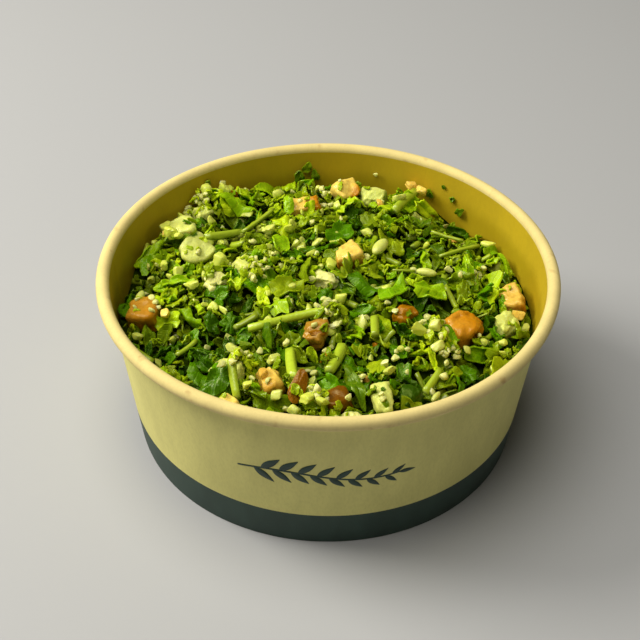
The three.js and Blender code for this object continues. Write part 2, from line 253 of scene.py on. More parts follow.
class SaladColours(bpy.types.PropertyGroup):
    leaf_dark: tint("Dark leaf", "Darkest leaves", (51, 95, 0))
    leaf_green: tint("Green leaf", "Most leaves", (104, 162, 0))
    leaf_bright: tint("Bright leaf", "Lightest leaves", (190, 212, 24))
    stem: tint("Stem", "Cut stems", (180, 204, 46))
    grain: tint("Bulgur", "Grains of bulgur", (234, 236, 146))
    pale: tint("Pale bits", "Bits of cucumber and stalk", (214, 228, 70))
    onion: tint("Onion", "Chopped onion", (236, 236, 146))
    tomato: tint("Tomato", "Tomato flesh", (204, 134, 6))
    tomato_pale: tint("Tomato core", "Palest tomato flesh", (250, 222, 110))
    tomato_skin: tint("Tomato skin", "Tomato skin", (118, 72, 2))
    cucumber: tint("Cucumber", "Cucumber flesh", (214, 221, 116))
    cucumber_skin: tint("Cucumber skin", "Cucumber skin", (44, 76, 2))
    # The core's dark colour is painted shade for the pieces that lie under the tops
    core: tint("Core", "The heap's dark inside", (38, 52, 2))


class StageSettings(bpy.types.PropertyGroup):
    floor: tint("Floor", "Colour of the floor", (174, 176, 184))
    key: power("Key light", "Power of the light from the side", 11.5)
    top: power("Top light", "Power of the large light above", 10.5)
    sky: FloatProperty(name="Sky", description="Strength of the light from all sides", default=0.08)


SETTINGS = {
    "tabbouleh_bowl": BowlSettings,
    "tabbouleh_heap": HeapSettings,
    "tabbouleh_colours": SaladColours,
    "tabbouleh_stage": StageSettings,
}

# ---- Shader expressions -------------------------------------------------------------------------


class Value:
    """A shader socket that works in Python expressions: each operator adds its Math node."""

    def __init__(self, finish, socket):
        self.finish = finish
        self.socket = socket

    def math(self, operation, *others):
        values = dict(enumerate((self, *others)))
        return self.finish.node("ShaderNodeMath", {"operation": operation}, values)

    __add__ = __radd__ = partialmethod(math, "ADD")
    __sub__ = partialmethod(math, "SUBTRACT")
    __mul__ = __rmul__ = partialmethod(math, "MULTIPLY")
    __truediv__ = partialmethod(math, "DIVIDE")
    __pow__ = partialmethod(math, "POWER")

    def __rsub__(self, other):
        return self.finish.node("ShaderNodeMath", {"operation": "SUBTRACT"}, {0: other, 1: self})

    def stripes(self, width):
        """Rises from 0 to 1 and falls back again over each width."""
        return (self / width * 2).math("PINGPONG", 1)

    def between(self, low, high):
        """0 under low, 1 over high and smooth in between."""
        settings = {"interpolation_type": "SMOOTHSTEP"}
        return self.finish.node("ShaderNodeMapRange", settings, {0: self, 1: low, 2: high})


# Painted shade: pieces low in the heap are blended towards a dark green
PAINTED_SHADE_MOST = 0.62  # how much painted shade the lowest pieces get
PAINTED_SHADE_COLOUR = (0.006, 0.016, 0)
SOFT = (0.3, 0.75)  # between these values a noise blends from one colour into another
CLEAR = (0.35, 0.75)  # the same, with more of the first colour left


class Finish:
    """A material and short ways to add its nodes. Constants go to sockets of the shader by name."""

    def __init__(self, title, **constants):
        self.material = bpy.data.materials.new(title)
        self.material.use_nodes = True
        self.tree = self.material.node_tree
        self.shader = self.tree.nodes["Principled BSDF"]
        for name, value in constants.items():
            socket = name.replace("_", " ").title().replace("Ior", "IOR")
            self.shader.inputs[socket].default_value = value

    def node(self, kind, settings=None, inputs=None, output=0):
        """Adds a node: its settings first, then the values or links of its inputs."""
        made = self.tree.nodes.new(kind)
        for name, value in (settings or {}).items():
            setattr(made, name, value)
        for name, value in (inputs or {}).items():
            if isinstance(value, Value):
                self.tree.links.new(value.socket, made.inputs[name])
            else:
                made.inputs[name].default_value = value
        return Value(self, made.outputs[output])

    def feed(self, socket, value):
        self.tree.links.new(value.socket, self.shader.inputs[socket])

    def place(self):
        """The place on the object, in metres."""
        return self.node("ShaderNodeTexCoord", output="Object")

    def squat(self, share):
        """The place on the object with its height scaled down, where noise is that much taller."""
        inputs = {0: self.place(), 1: (1, 1, share)}
        return self.node("ShaderNodeVectorMath", {"operation": "MULTIPLY"}, inputs)

    def height(self):
        return self.node("ShaderNodeSeparateXYZ", inputs={0: self.place()}, output=2)

    def noise(self, size, detail=2.0, place=None):
        """Cloudy noise from 0 to 1 with lumps of about this size, in metres."""
        inputs = {"Vector": place or self.place(), "Scale": 1 / size, "Detail": detail}
        return self.node("ShaderNodeTexNoise", inputs=inputs)

    def own(self, name):
        """A number that each vertex of the mesh holds."""
        return self.node("ShaderNodeAttribute", {"attribute_name": name}, output="Fac")

    def mix(self, factor, first, second):
        """One colour blended over another."""
        settings = {"data_type": "RGBA"}
        first, second = (c if isinstance(c, Value) else (*c, 1) for c in (first, second))
        return self.node("ShaderNodeMix", settings, {0: factor, 6: first, 7: second}, output=2)

    def in_the_dark(self, base):
        """A colour with painted shade: blended towards dark green by the number each vertex holds, on
        pieces low in the heap and on some dice.
        """
        return self.mix(self.own("deep") * PAINTED_SHADE_MOST, base, PAINTED_SHADE_COLOUR)

    def relief(self, height, distance, strength=1.0):
        """Bump of this depth, in metres, from a height of 0 to 1."""
        inputs = {"Strength": strength, "Distance": distance, "Height": height}
        self.feed("Normal", self.node("ShaderNodeBump", inputs=inputs))


def shade(colour, factor):
    """A colour made darker or lighter."""
    return tuple(min(1.0, c * factor) for c in colour)


# ---- Finishes -----------------------------------------------------------------------------------

EVEN_SCATTER = (1, 0.85, 0.3)  # how far red, green and blue light spread in wet flesh
LEAF_SCATTER = (0.8, 1, 0.15)
LEAF_GLOSS = (0.8, 1, 0.2, 1)  # oil and dressing tint what wet pieces reflect
DIE_GLOSS = (1, 0.9, 0.45, 1)
PITH = (0.75, 0.85, 0.35)  # what a stem's colour blends into in its cut ends
SKIN_EDGE = (1.15, 1.35)  # between these values the flesh of a die turns into skin
ALL_SKIN = 2  # more than the skin's edge, with any mottling


def paper_finish(name, colour, stain=None):
    """Uncoated paper board: cloudy, with fine fibres, and spotted where stain is a colour."""
    finish = Finish(name, roughness=0.78, specular_ior_level=0.35)
    cloud = finish.noise(9 * MM, 4, finish.squat(0.35))
    fibre = finish.noise(0.7 * MM, 3, finish.squat(0.4))
    base = finish.mix(cloud.between(*SOFT), shade(colour, 0.93), shade(colour, 1.05))
    base = finish.mix(fibre.between(*CLEAR) * 0.16, base, shade(colour, 0.6))
    if stain is not None:
        blots = finish.noise(5 * MM, 2).between(0.6, 0.8)
        base = finish.mix(blots * 0.5, base, stain)
    finish.feed("Base Color", base)
    finish.relief(fibre + cloud * 0.5, 0.04 * MM, 0.6)
    return finish.material


def lining_finish(colour):
    """The board inside the bowl, darkened by dressing near the salad."""
    finish = Finish("bowl_lining", roughness=0.62, specular_ior_level=0.4)
    cloud = finish.noise(12 * MM, 4, finish.squat(0.5))
    fibre = finish.noise(0.8 * MM, 3, finish.squat(0.4))
    wet = 1 - (finish.height() + cloud * (5 * MM)).between(HEAP_EDGE + 3 * MM, HEAP_EDGE + 10 * MM)
    base = finish.mix(cloud.between(*SOFT), shade(colour, 0.9), colour)
    base = finish.mix(fibre.between(*CLEAR) * 0.12, base, shade(colour, 0.6))
    base = finish.mix(wet * 0.45, base, shade(colour, 0.45))
    finish.feed("Base Color", base)
    finish.feed("Roughness", 0.68 - wet * 0.2)
    finish.relief(fibre, 0.04 * MM, 0.5)
    return finish.material


def ink_finish(colour):
    """Dark ink printed on the board, a little uneven."""
    finish = Finish("bowl_ink", roughness=0.6, specular_ior_level=0.4)
    cloud = finish.noise(7 * MM, 4, finish.squat(0.35))
    fibre = finish.noise(0.6 * MM, 3)
    base = finish.mix(cloud.between(*SOFT), shade(colour, 0.86), shade(colour, 1.14))
    base = finish.mix(fibre.between(0.62, 0.8) * 0.35, base, shade(colour, 2.2))
    finish.feed("Base Color", base)
    finish.relief(fibre, 0.03 * MM, 0.5)
    return finish.material


def leaf_finish(name, dark, bright):
    """Wet chopped leaf: each piece has its own tone, veins and paler cut edges."""
    finish = Finish(name, coat_roughness=0.14, specular_ior_level=0.3, specular_tint=LEAF_GLOSS,
                    subsurface_weight=0.4, subsurface_scale=1.4 * MM, subsurface_radius=LEAF_SCATTER)
    tone = finish.own("tone")
    edge = finish.own("edge")
    blotch = finish.noise(3.2 * MM, 2)
    fine = finish.noise(1.1 * MM, 1)
    base = finish.mix(tone, dark, bright)
    base = finish.mix(blotch.between(*CLEAR) * 0.3, base, shade(dark, 0.8))
    vein = 1 - finish.own("vein").stripes(0.2).between(0.08, 0.32)
    base = finish.mix(vein * 0.2 * (1 - edge), base, shade(bright, 1.2))
    base = finish.mix(edge**4 * 0.12, base, shade(bright, 1.1))
    finish.feed("Base Color", finish.in_the_dark(base))
    finish.feed("Roughness", 0.24 + fine * 0.24)
    finish.feed("Coat Weight", 0.16 - finish.own("deep") * 0.16)
    finish.relief(blotch + fine * 0.3 - vein * 0.4, 0.4 * MM, 0.6)
    return finish.material


def stem_finish(colour):
    """Cut stem: ribbed along its length, with a paler cut end."""
    finish = Finish("parsley_stem", roughness=0.3, coat_weight=0.2, coat_roughness=0.15)
    tone = finish.own("tone")
    fine = finish.noise(0.9 * MM, 2)
    base = finish.mix(tone, shade(colour, 0.6), shade(colour, 1.15))
    base = finish.mix(fine.between(0.4, 0.8) * 0.25, base, shade(colour, 0.5))
    pith = [0.62 * c + 0.38 * w for c, w in zip(colour, PITH)]
    base = finish.mix(finish.own("edge"), base, pith)
    finish.feed("Base Color", finish.in_the_dark(base))
    finish.relief(fine, 0.2 * MM, 0.5)
    return finish.material


def grain_finish(name, low, high, size):
    """Cooked grain or a pale bit: soft, slightly clear and wet, each piece with its own tone."""
    finish = Finish(name, roughness=0.36, subsurface_weight=0.4, subsurface_scale=1.5 * MM,
                    subsurface_radius=EVEN_SCATTER, coat_weight=0.15, coat_roughness=0.15)
    tone = finish.own("tone")
    cloud = finish.noise(size, 2)
    base = finish.mix(tone, low, high)
    base = finish.mix(cloud.between(*CLEAR) * 0.3, base, shade(low, 0.8))
    finish.feed("Base Color", finish.in_the_dark(base))
    finish.relief(cloud, 0.35 * MM, 0.6)
    return finish.material


def die_finish(name, flesh, pale, skin, size, gloss=DIE_GLOSS):
    """Wet diced fruit: mottled flesh from pale to full colour towards its skin."""
    finish = Finish(name, subsurface_weight=0.3, subsurface_scale=2 * MM, subsurface_radius=EVEN_SCATTER,
                    coat_roughness=0.1, specular_ior_level=0.35, specular_tint=gloss)
    cloud = finish.noise(size, 3)
    fine = finish.noise(0.3 * size, 2)
    way = finish.own("skin") + cloud * 0.8
    base = finish.mix((1 - way.between(0.3, 1.1)) * finish.own("tone"), flesh, pale)
    base = finish.mix(fine.between(0.42, 0.75) * 0.32, base, shade(flesh, 0.6))
    base = finish.mix(way.between(*SKIN_EDGE), base, skin)
    finish.feed("Base Color", finish.in_the_dark(base))
    finish.feed("Coat Weight", 0.2 - way.between(*SKIN_EDGE) * 0.2)
    finish.feed("Roughness", 0.2 + fine * 0.25)
    finish.relief(fine * 0.7 + cloud, 0.5 * MM, 0.6)
    return finish.material


def core_finish(colour):
    """The inside of the heap, painted dark green as the shade that lies under the pieces."""
    finish = Finish("salad_core", roughness=0.9, specular_ior_level=0)
    cloud = finish.noise(4 * MM, 4)
    base = finish.mix(cloud.between(0.35, 0.7), shade(colour, 0.4), shade(colour, 1.2))
    finish.feed("Base Color", base)
    finish.relief(cloud, 1.2 * MM)
    return finish.material


def floor_finish(colour):
    """A plain matt floor, faintly cloudy."""
    finish = Finish("floor", roughness=0.7, specular_ior_level=0.3)
    cloud = finish.noise(0.4, 2)
    finish.feed("Base Color", finish.mix(cloud * 0.3, colour, shade(colour, 0.97)))
    return finish.material


# ---- Meshes -------------------------------------------------------------------------------------


def shown(name, points, faces, materials, slots=None, numbers=None, rim=None):
    """A smooth mesh from arrays. numbers are named values of each vertex. rim gives the vertices of each
    rim a number of their own, and edges along a rim are sharp."""
    mesh = bpy.data.meshes.new(name)
    points = np.asarray(points, np.float32)
    corners = np.concatenate([np.asarray(f, np.int32).ravel() for f in faces])
    counts = np.concatenate([np.full(len(f), np.shape(f)[1]) for f in faces])
    mesh.vertices.add(len(points))
    mesh.vertices.foreach_set("co", points.ravel())
    mesh.loops.add(len(corners))
    mesh.loops.foreach_set("vertex_index", corners)
    mesh.polygons.add(len(counts))
    starts = np.concatenate([[0], np.cumsum(counts)[:-1]])
    mesh.polygons.foreach_set("loop_start", starts.astype(np.int32))
    for material in materials:
        mesh.materials.append(material)
    if slots is not None:
        mesh.polygons.foreach_set("material_index", np.asarray(slots, np.int32))
    mesh.update(calc_edges=True)
    mesh.validate()
    mesh.shade_smooth()
    for title, values in (numbers or {}).items():
        attribute = mesh.attributes.new(title, "FLOAT", "POINT")
        attribute.data.foreach_set("value", np.asarray(values, np.float32))
    if rim is not None:
        ends = np.empty(2 * len(mesh.edges), np.int32)
        mesh.edges.foreach_get("vertices", ends)
        start, end = ends.reshape(-1, 2).T
        attribute = mesh.attributes.new("sharp_edge", "BOOLEAN", "EDGE")
        attribute.data.foreach_set("value", (rim[start] > 0) & (rim[start] == rim[end]))
    made = bpy.data.objects.new(name, mesh)
    bpy.context.scene.collection.objects.link(made)
    return made


def settled(piece, slot, *nodes):
    """Sets a finished piece on the object's one body, in place of the nodes named."""
    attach(piece, BODY)
    if nodes:
        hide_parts(*nodes)


def ring_faces(rows, columns, closed_rows=False):
    """Quads between rows of points that each close round."""
    row = np.arange(rows if closed_rows else rows - 1)[:, None]
    column = np.arange(columns)[None, :]
    after = (column + 1) % columns
    above = (row + 1) % rows
    low, high = row * columns, above * columns
    quads = [low + column, low + after, high + after, high + column]
    return np.stack(np.broadcast_arrays(*quads), -1).reshape(-1, 4)


# ---- Bowl ---------------------------------------------------------------------------------------

SEAM_ANGLE = math.radians(177)
SEAM_STEP = 0.35 * MM
SEAM_WIDTH = 0.5 * MM
SEAM_FADE = 0.5  # radians past the seam over which its step fades out
RIM_WOBBLE = 0.12 * MM  # how far the rim is out of round
RIM_DIP = 0.1 * MM  # and out of level
PAPER, LINING, INK, RIM = range(4)  # materials of the wall


def arc(middle, radius, start, end, steps):
    """Points on an arc, with angles in degrees."""
    angles = np.radians(np.linspace(start, end, steps))
    return [(middle[0] + radius * math.cos(a), middle[1] + radius * math.sin(a)) for a in angles]


def wall_outline(band):
    """The wall's section as a closed line of (radius, height), and the material of each of its
    stretches."""
    lip = 0.3 * MM
    curl = 0.28 * MM  # the slit between the wall and the end of the rim's curl
    end_angle = -128  # of the curl's end
    crown = (BEAD_MIDDLE, BEAD_HEIGHT)
    fold_radius = FOOT_RADIUS - FOOT_FOLD
    foot = arc((FOOT_RADIUS - lip, lip), lip, -90, 0, 4)
    inked = [0.9 * MM, band / 3, 2 * band / 3, band]
    bare = list(np.linspace(band, BEAD_HEIGHT - 1.7 * MM, 14)[1:])
    slit = [BEAD_HEIGHT - 1.1 * MM]
    outside = [(wall_radius(z), z) for z in inked + bare + slit]
    tip = arc(crown, BEAD_RADIUS - BOARD, end_angle - 12, end_angle - 6, 2)
    tip = [(x, z - curl / 2) for x, z in tip]
    bead = arc(crown, BEAD_RADIUS, end_angle, 180, 26)
    inner = [(wall_radius(z) - BOARD, z) for z in np.linspace(BEAD_HEIGHT - 2 * MM, BASE_LOW.z, 12)]
    inside_fold = [(fold_radius, BASE_LOW.z - 0.3 * MM), (fold_radius, lip)]
    fold = arc((fold_radius + lip, lip), lip, 180, 270, 4)[1:]
    line = foot + outside + tip + bead + inner + inside_fold + fold
    slots = np.full(len(line), PAPER)
    slots[1 : len(foot + inked) - 1] = INK
    first_lining = len(foot + outside + tip + bead) - 1
    slots[first_lining - len(bead) : first_lining] = RIM
    slots[first_lining : first_lining + len(inner)] = LINING
    return np.array(line), slots


def bowl_angles(facets):
    """Angles round the bowl, with two more at the lap seam."""
    even = np.linspace(0, 2 * math.pi, facets, endpoint=False)
    seam = SEAM_ANGLE + np.array([-0.5, 0.5]) * SEAM_WIDTH / FOOT_RADIUS
    return np.sort(np.concatenate([even, seam]))


def turned(line, angles):
    """Points of a section turned round the bowl, with the lap seam's step and a slightly uneven rim."""
    radius = line[:, 0][:, None]
    height = line[:, 1][:, None]
    past = np.mod(angles - SEAM_ANGLE + math.pi, 2 * math.pi) - math.pi
    step = SEAM_STEP * np.where(past > 0, np.maximum(0, 1 - past / SEAM_FADE), 0)
    under_bead = np.clip((BEAD_HEIGHT - 2 * MM - height) / (3 * MM), 0, 1)
    up = height / BOWL_HEIGHT
    wobble = RIM_WOBBLE * np.sin(5 * angles + 1) * up**2
    radius = radius + under_bead * step + wobble - RIM_WOBBLE * up**2
    height = height + RIM_DIP * (np.sin(3 * angles) - 1) * up**4
    points = [radius * np.cos(angles), radius * np.sin(angles), height + 0 * angles]
    return np.stack(points, -1).reshape(-1, 3)


class TABBOULEH_OT_bowl(bpy.types.Operator):
    """Builds the paper bowl: its wall with the rolled rim, and the base disc"""

    bl_idname = "tabbouleh.bowl"
    bl_label = "Paper Bowl"

    def execute(self, context):
        look = context.scene.tabbouleh_bowl
        paper = paper_finish("bowl_paper", look.paper)
        rim = paper_finish("bowl_rim", look.rim, look.stain)
        lining = lining_finish(look.lining)
        ink = ink_finish(look.ink)
        angles = bowl_angles(look.facets)
        line, slots = wall_outline(look.band)
        faces = ring_faces(len(line), len(angles), closed_rows=True)
        points = turned(line, angles)
        wall = shown("paper_wall", points, [faces], [paper, lining, ink, rim],
                     np.repeat(slots, len(angles)))
        settled(wall, "bowl_paper", "bowl_wall")

        edge = wall_radius(BASE_LOW.z) - BOARD - 0.3 * MM
        dish = 0.25 * MM  # the base bellies up a little in its middle
        rings = np.array([0.02, 0.3, 0.6, 0.9, 0.97, 1])
        reach = edge * np.concatenate([rings, rings[::-1]])
        rise = dish * (1 - (reach / edge) ** 2)
        top = np.repeat([1, 0], len(rings))
        disc = np.stack([reach, BASE_LOW.z + BOARD * top + rise], -1)[::-1]
        points = turned(disc, angles)
        faces = ring_faces(len(disc), len(angles), closed_rows=True)
        base = shown("paper_base", points, [faces], [paper])
        settled(base, "bowl_paper", "bowl_base")
        return {"FINISHED"}


# ---- Printed sprig ------------------------------------------------------------------------------

SPRIG_HEIGHT = 33 * MM  # of its middle over the foot
SPRIG_REACH = 27 * MM  # from its middle to either end
SPRIG_SWAY = 1.6 * MM
SPRIG_PROUD = 0.05 * MM
SPRIG_PAIRS = 8
SPRIG_LEAF = metres([8.6, 2.7])  # length and breadth of the leaves at its cut end
SPRIG_SLANT = 0.72  # of the leaves to the stalk, in radians
STALK_BREADTH = 0.55 * MM
STALK_END = 0.93  # share of the sprig's length that the stalk runs along
STALK_PIECES = 12


def sprig_point(share):
    """A point of the printed stalk, across and up, from 0 at its cut end to 1 at its tip."""
    up = SPRIG_HEIGHT + SPRIG_SWAY * math.sin(2 * math.pi * share)
    return np.array([(2 * share - 1) * SPRIG_REACH, up])


def printed_blade(start, direction, size, straight=False, steps=13):
    """One printed leaf or piece of stalk in the print's plane: left edge, middle line, right edge."""
    along = np.linspace(0, 1, steps)
    wide = 0.5 * size[1] * (1 + 0 * along if straight else np.sin(math.pi * along**0.8)) + 0.04 * MM
    forward = np.array([math.cos(direction), math.sin(direction)])
    side = np.array([-forward[1], forward[0]])
    middle = np.array(start) + along[:, None] * size[0] * forward
    return [middle + w * wide[:, None] * side for w in (1, 0, -1)]


def on_wall(flat, proud):
    """Points of the print's plane, across and up, wrapped on the bowl's front."""
    across, up = flat[..., 0], flat[..., 1]
    radius = wall_radius(up) + proud
    turn = across / wall_radius(SPRIG_HEIGHT)
    return np.stack([radius * np.sin(turn), -radius * np.cos(turn), up], -1)


def sprig_blades():
    """The sprig's stalk in short pieces, its pairs of leaves and the one at its tip."""
    blades = []
    for i in range(STALK_PIECES):
        start, end = (sprig_point(STALK_END * (i + n) / STALK_PIECES) for n in (0, 1))
        across = end - start
        size = (1.04 * np.hypot(*across), STALK_BREADTH)
        blades.append(printed_blade(start, math.atan2(across[1], across[0]), size, straight=True))
    for pair in range(SPRIG_PAIRS):
        share = 0.12 + 0.74 * pair / (SPRIG_PAIRS - 1)
        for side in (1, -1):
            base = sprig_point(share + 0.02 * side)
            blades.append(printed_blade(base, side * SPRIG_SLANT, (1 - 0.45 * share) * SPRIG_LEAF))
    blades.append(printed_blade(sprig_point(0.92), 0, 0.62 * SPRIG_LEAF))
    return blades


def printed_faces(count, first):
    """Faces of a blade whose three rows of this many points lie in front of the same ones on its back."""
    cell = np.arange(count - 1)
    faces = []
    for strip in (0, count):
        quad = np.stack([cell, cell + count, cell + count + 1, cell + 1], -1) + first + strip
        faces += [quad, quad[:, ::-1] + 3 * count]
    row = np.arange(count)
    rim = np.concatenate([row, [2 * count - 1], 3 * count - 1 - row, [count]])
    after = np.roll(rim, -1)
    faces.append(np.stack([rim, after, after + 3 * count, rim + 3 * count], -1) + first)
    return faces


class TABBOULEH_OT_print(bpy.types.Operator):
    """Prints a plain leaf sprig on the bowl's front"""

    bl_idname = "tabbouleh.print"
    bl_label = "Printed Sprig"

    def execute(self, context):
        points, faces = [], []
        for blade in sprig_blades():
            faces += printed_faces(len(blade[0]), sum(map(len, points)))
            flat = np.concatenate(blade)
            points += [on_wall(flat, SPRIG_PROUD), on_wall(flat, -SPRIG_PROUD)]
        finish = ink_finish(context.scene.tabbouleh_bowl.ink)
        sprig = shown("printed_sprig", np.concatenate(points), faces, [finish])
        settled(sprig, "bowl_paper")
        return {"FINISHED"}


# ---- The pile that pieces are laid on -----------------------------------------------------------

CELL = 0.6 * MM  # of the grid of heights
CELLS = int(HEAP_RADIUS / CELL) + 8  # from its middle to its edge
STEEPEST = 0.8  # slope that a piece is tilted to


class Pile:
    """Heights of what lies in the bowl so far, on a grid of square cells. Pieces are laid on it one
    by one, each on those before it."""

    def __init__(self):
        axis = np.arange(-CELLS, CELLS + 1) * CELL
        self.x, self.y = np.meshgrid(axis, axis, indexing="ij")
        self.height = core_height(self.x, self.y)
        self.kept = np.zeros(self.height.shape, bool)  # what later pieces may hardly cover

    def keep_gaps(self):
        """Keeps the dark gaps from now on."""
        self.kept |= in_gap(self.x, self.y)

    def spot(self, points):
        """Grid indices of points."""
        index = np.rint(points[:, :2] / CELL).astype(int) + CELLS
        return tuple(np.clip(index, 0, 2 * CELLS).T)

    def low_place(self, rng, tries, reach, around=None):
        """The place that is lowest against the heap's mean height, of a few random ones."""
        angle = rng.uniform(0, 2 * math.pi, tries)
        radius = reach * np.sqrt(rng.uniform(0, 1, tries))
        places = np.stack([radius * np.cos(angle), radius * np.sin(angle)], -1)
        if around is not None:
            places += around
        room = self.height[self.spot(places)] - top_height(places[:, 0], places[:, 1])
        return places[np.argmin(room)]

    def lay(self, form, place, hidden, room, sink, drape=0.0):
        """Sets a piece's points down at a place. sink is the share of its points that may go into what
        is under it, drape how far it bends to what is under it. None where more than the share hidden
        of it would cover what is kept, or where there is less than this room under the tops' height."""
        if self.height[self.spot(place[None])][0] > top_height(*place) - room:
            return None
        points = form.copy()
        points[:, :2] += place
        for _ in range(2):
            under = self.height[self.spot(points)]
            points[:, 2] += np.quantile(under - points[:, 2], 1 - sink)
            out = np.hypot(points[:, 0], points[:, 1])
            over = (out - wall_radius(points[:, 2]) + BOARD + WALL_CLEAR).max()
            if over > 0:
                centre = points[:, :2].mean(0)
                points[:, :2] -= centre / np.hypot(*centre) * over
        spot = self.spot(points)
        if self.kept[spot].mean() > hidden:
            return None
        points[:, 2] -= drape * (points[:, 2] - self.height[spot])
        points[:, 2] -= max(0, points[:, 2].max() - HEAP_CEILING)
        return points

    def level(self, form, place):
        """Tilts a piece's points nearly to the slope of what is under it."""
        points = form.copy()
        points[:, :2] += place
        under = self.height[self.spot(points)]
        flat = np.column_stack([points[:, :2] - place, np.ones(len(points))])
        slope = np.linalg.lstsq(flat, under, rcond=None)[0]
        steep = np.hypot(slope[0], slope[1])
        slope *= 0.9 * min(1, STEEPEST / max(steep, 1e-6))
        form = form.copy()
        form[:, 2] += flat[:, 0] * slope[0] + flat[:, 1] * slope[1]
        return form

    def cover(self, points, reach, rise=0.0, keep=False):
        """Raises the pile to a piece's points, each of which fills the cells within reach."""
        low = self.spot(points[:, :2].min(0)[None] - reach)
        high = self.spot(points[:, :2].max(0)[None] + reach)
        part = (slice(low[0][0], high[0][0] + 1), slice(low[1][0], high[1][0] + 1))
        across = self.x[part][..., None] - points[:, 0]
        along = self.y[part][..., None] - points[:, 1]
        away = across**2 + along**2
        top = np.where(away < reach**2, points[:, 2] + rise, -1.0).max(-1)
        self.height[part] = np.maximum(self.height[part], top)
        if keep:
            self.kept[part] |= top > 0

    def cover_die(self, points, faces, keep):
        """Raises the pile to a die."""
        tree = BVHTree.FromPolygons(points.tolist(), faces.tolist())
        low_i, low_j = (index[0] for index in self.spot(points.min(0)[None]))
        high_i, high_j = (index[0] for index in self.spot(points.max(0)[None]))
        for i in range(low_i, high_i + 1):
            for j in range(low_j, high_j + 1):
                start = Vector((self.x[i, j], self.y[i, j], BOWL_HEIGHT))
                hit = tree.ray_cast(start, Vector((0, 0, -1)))[0]
                if hit and hit.z > self.height[i, j]:
                    self.height[i, j] = hit.z
                    self.kept[i, j] = keep


def spun(form, angle):
    """A piece turned about the upright by an angle in radians."""
    return form @ np.array(Matrix.Rotation(angle, 3, "Z")).T


def tilted(form, rng, lean):
    """A piece turned at random about the upright and tilted by up to about lean, in radians."""
    turn = Matrix.Rotation(rng.uniform(0, 2 * math.pi), 3, "Z")
    tip = Matrix.Rotation(rng.normal(0, lean), 3, "X") @ Matrix.Rotation(rng.normal(0, lean), 3, "Y")
    return form @ np.array(turn @ tip).T


class Batch:
    """Many small closed pieces of one kind, which become one mesh."""

    def __init__(self):
        self.points = []
        self.faces = []
        self.numbers = []
        self.count = 0

    def add(self, points, faces, **numbers):
        self.points.append(points)
        self.faces.append(faces + self.count)
        self.numbers.append({name: np.broadcast_to(v, len(points)) for name, v in numbers.items()})
        self.count += len(points)

    def build(self, name, material, slot, *nodes, crease=None):
        """Makes the mesh. Edges that are sharper than the crease angle, if there is one, show."""
        numbers = {n: np.concatenate([held[n] for held in self.numbers]) for n in self.numbers[0]}
        rim = numbers.pop("rim", None)
        piece = shown(name, np.concatenate(self.points), [np.concatenate(self.faces)], [material],
                      numbers=numbers, rim=rim)
        if crease is not None:
            piece.data.set_sharp_from_angle(angle=crease)
        settled(piece, slot, *nodes)


# ---- Forms of the small pieces ------------------------------------------------------------------


class Sheet:
    """The net of a thin closed piece: a middle point, rings of points round it, and both sides alike."""

    def __init__(self, sectors, rings):
        self.angles = np.linspace(0, 2 * math.pi, sectors, endpoint=False)
        self.rings = np.array(rings)
        self.share = np.concatenate([[0], np.repeat(self.rings, sectors)])  # from the middle to the edge
        self.size = len(self.share)
        here = np.arange(sectors)
        after = (here + 1) % sectors
        top = [np.stack([0 * here, 1 + here, 1 + after], -1)]
        for ring in range(len(rings) - 1):
            a, b = 1 + ring * sectors + here, 1 + ring * sectors + after
            top += [np.stack([a, a + sectors, b + sectors], -1), np.stack([a, b + sectors, b], -1)]
        self.top = np.concatenate(top)
        last = 1 + (len(rings) - 1) * sectors
        a, b = last + here, last + after
        side = [np.stack([a, a + self.size, b + self.size], -1), np.stack([a, b + self.size, b], -1)]
        self.faces = np.concatenate([self.top, self.top[:, ::-1] + self.size, *side])
        on_rim = (self.share == 1).astype(int)
        self.rim = np.concatenate([on_rim, 2 * on_rim])

    def thick(self, middle, thickness):
        """Points of the closed piece round its middle surface."""
        a, b, c = (middle[self.top[:, i]] for i in range(3))
        normal = np.cross(b - a, c - a)
        total = np.zeros_like(middle)
        for i in range(3):
            np.add.at(total, self.top[:, i], normal)
        total /= np.linalg.norm(total, axis=1)[:, None] + 1e-12
        return np.concatenate([middle + 0.5 * thickness * total, middle - 0.5 * thickness * total])


LEAF_NET = Sheet(24, (0.3, 0.55, 0.8, 1.0))
FLAKE_NET = Sheet(14, (0.55, 1.0))


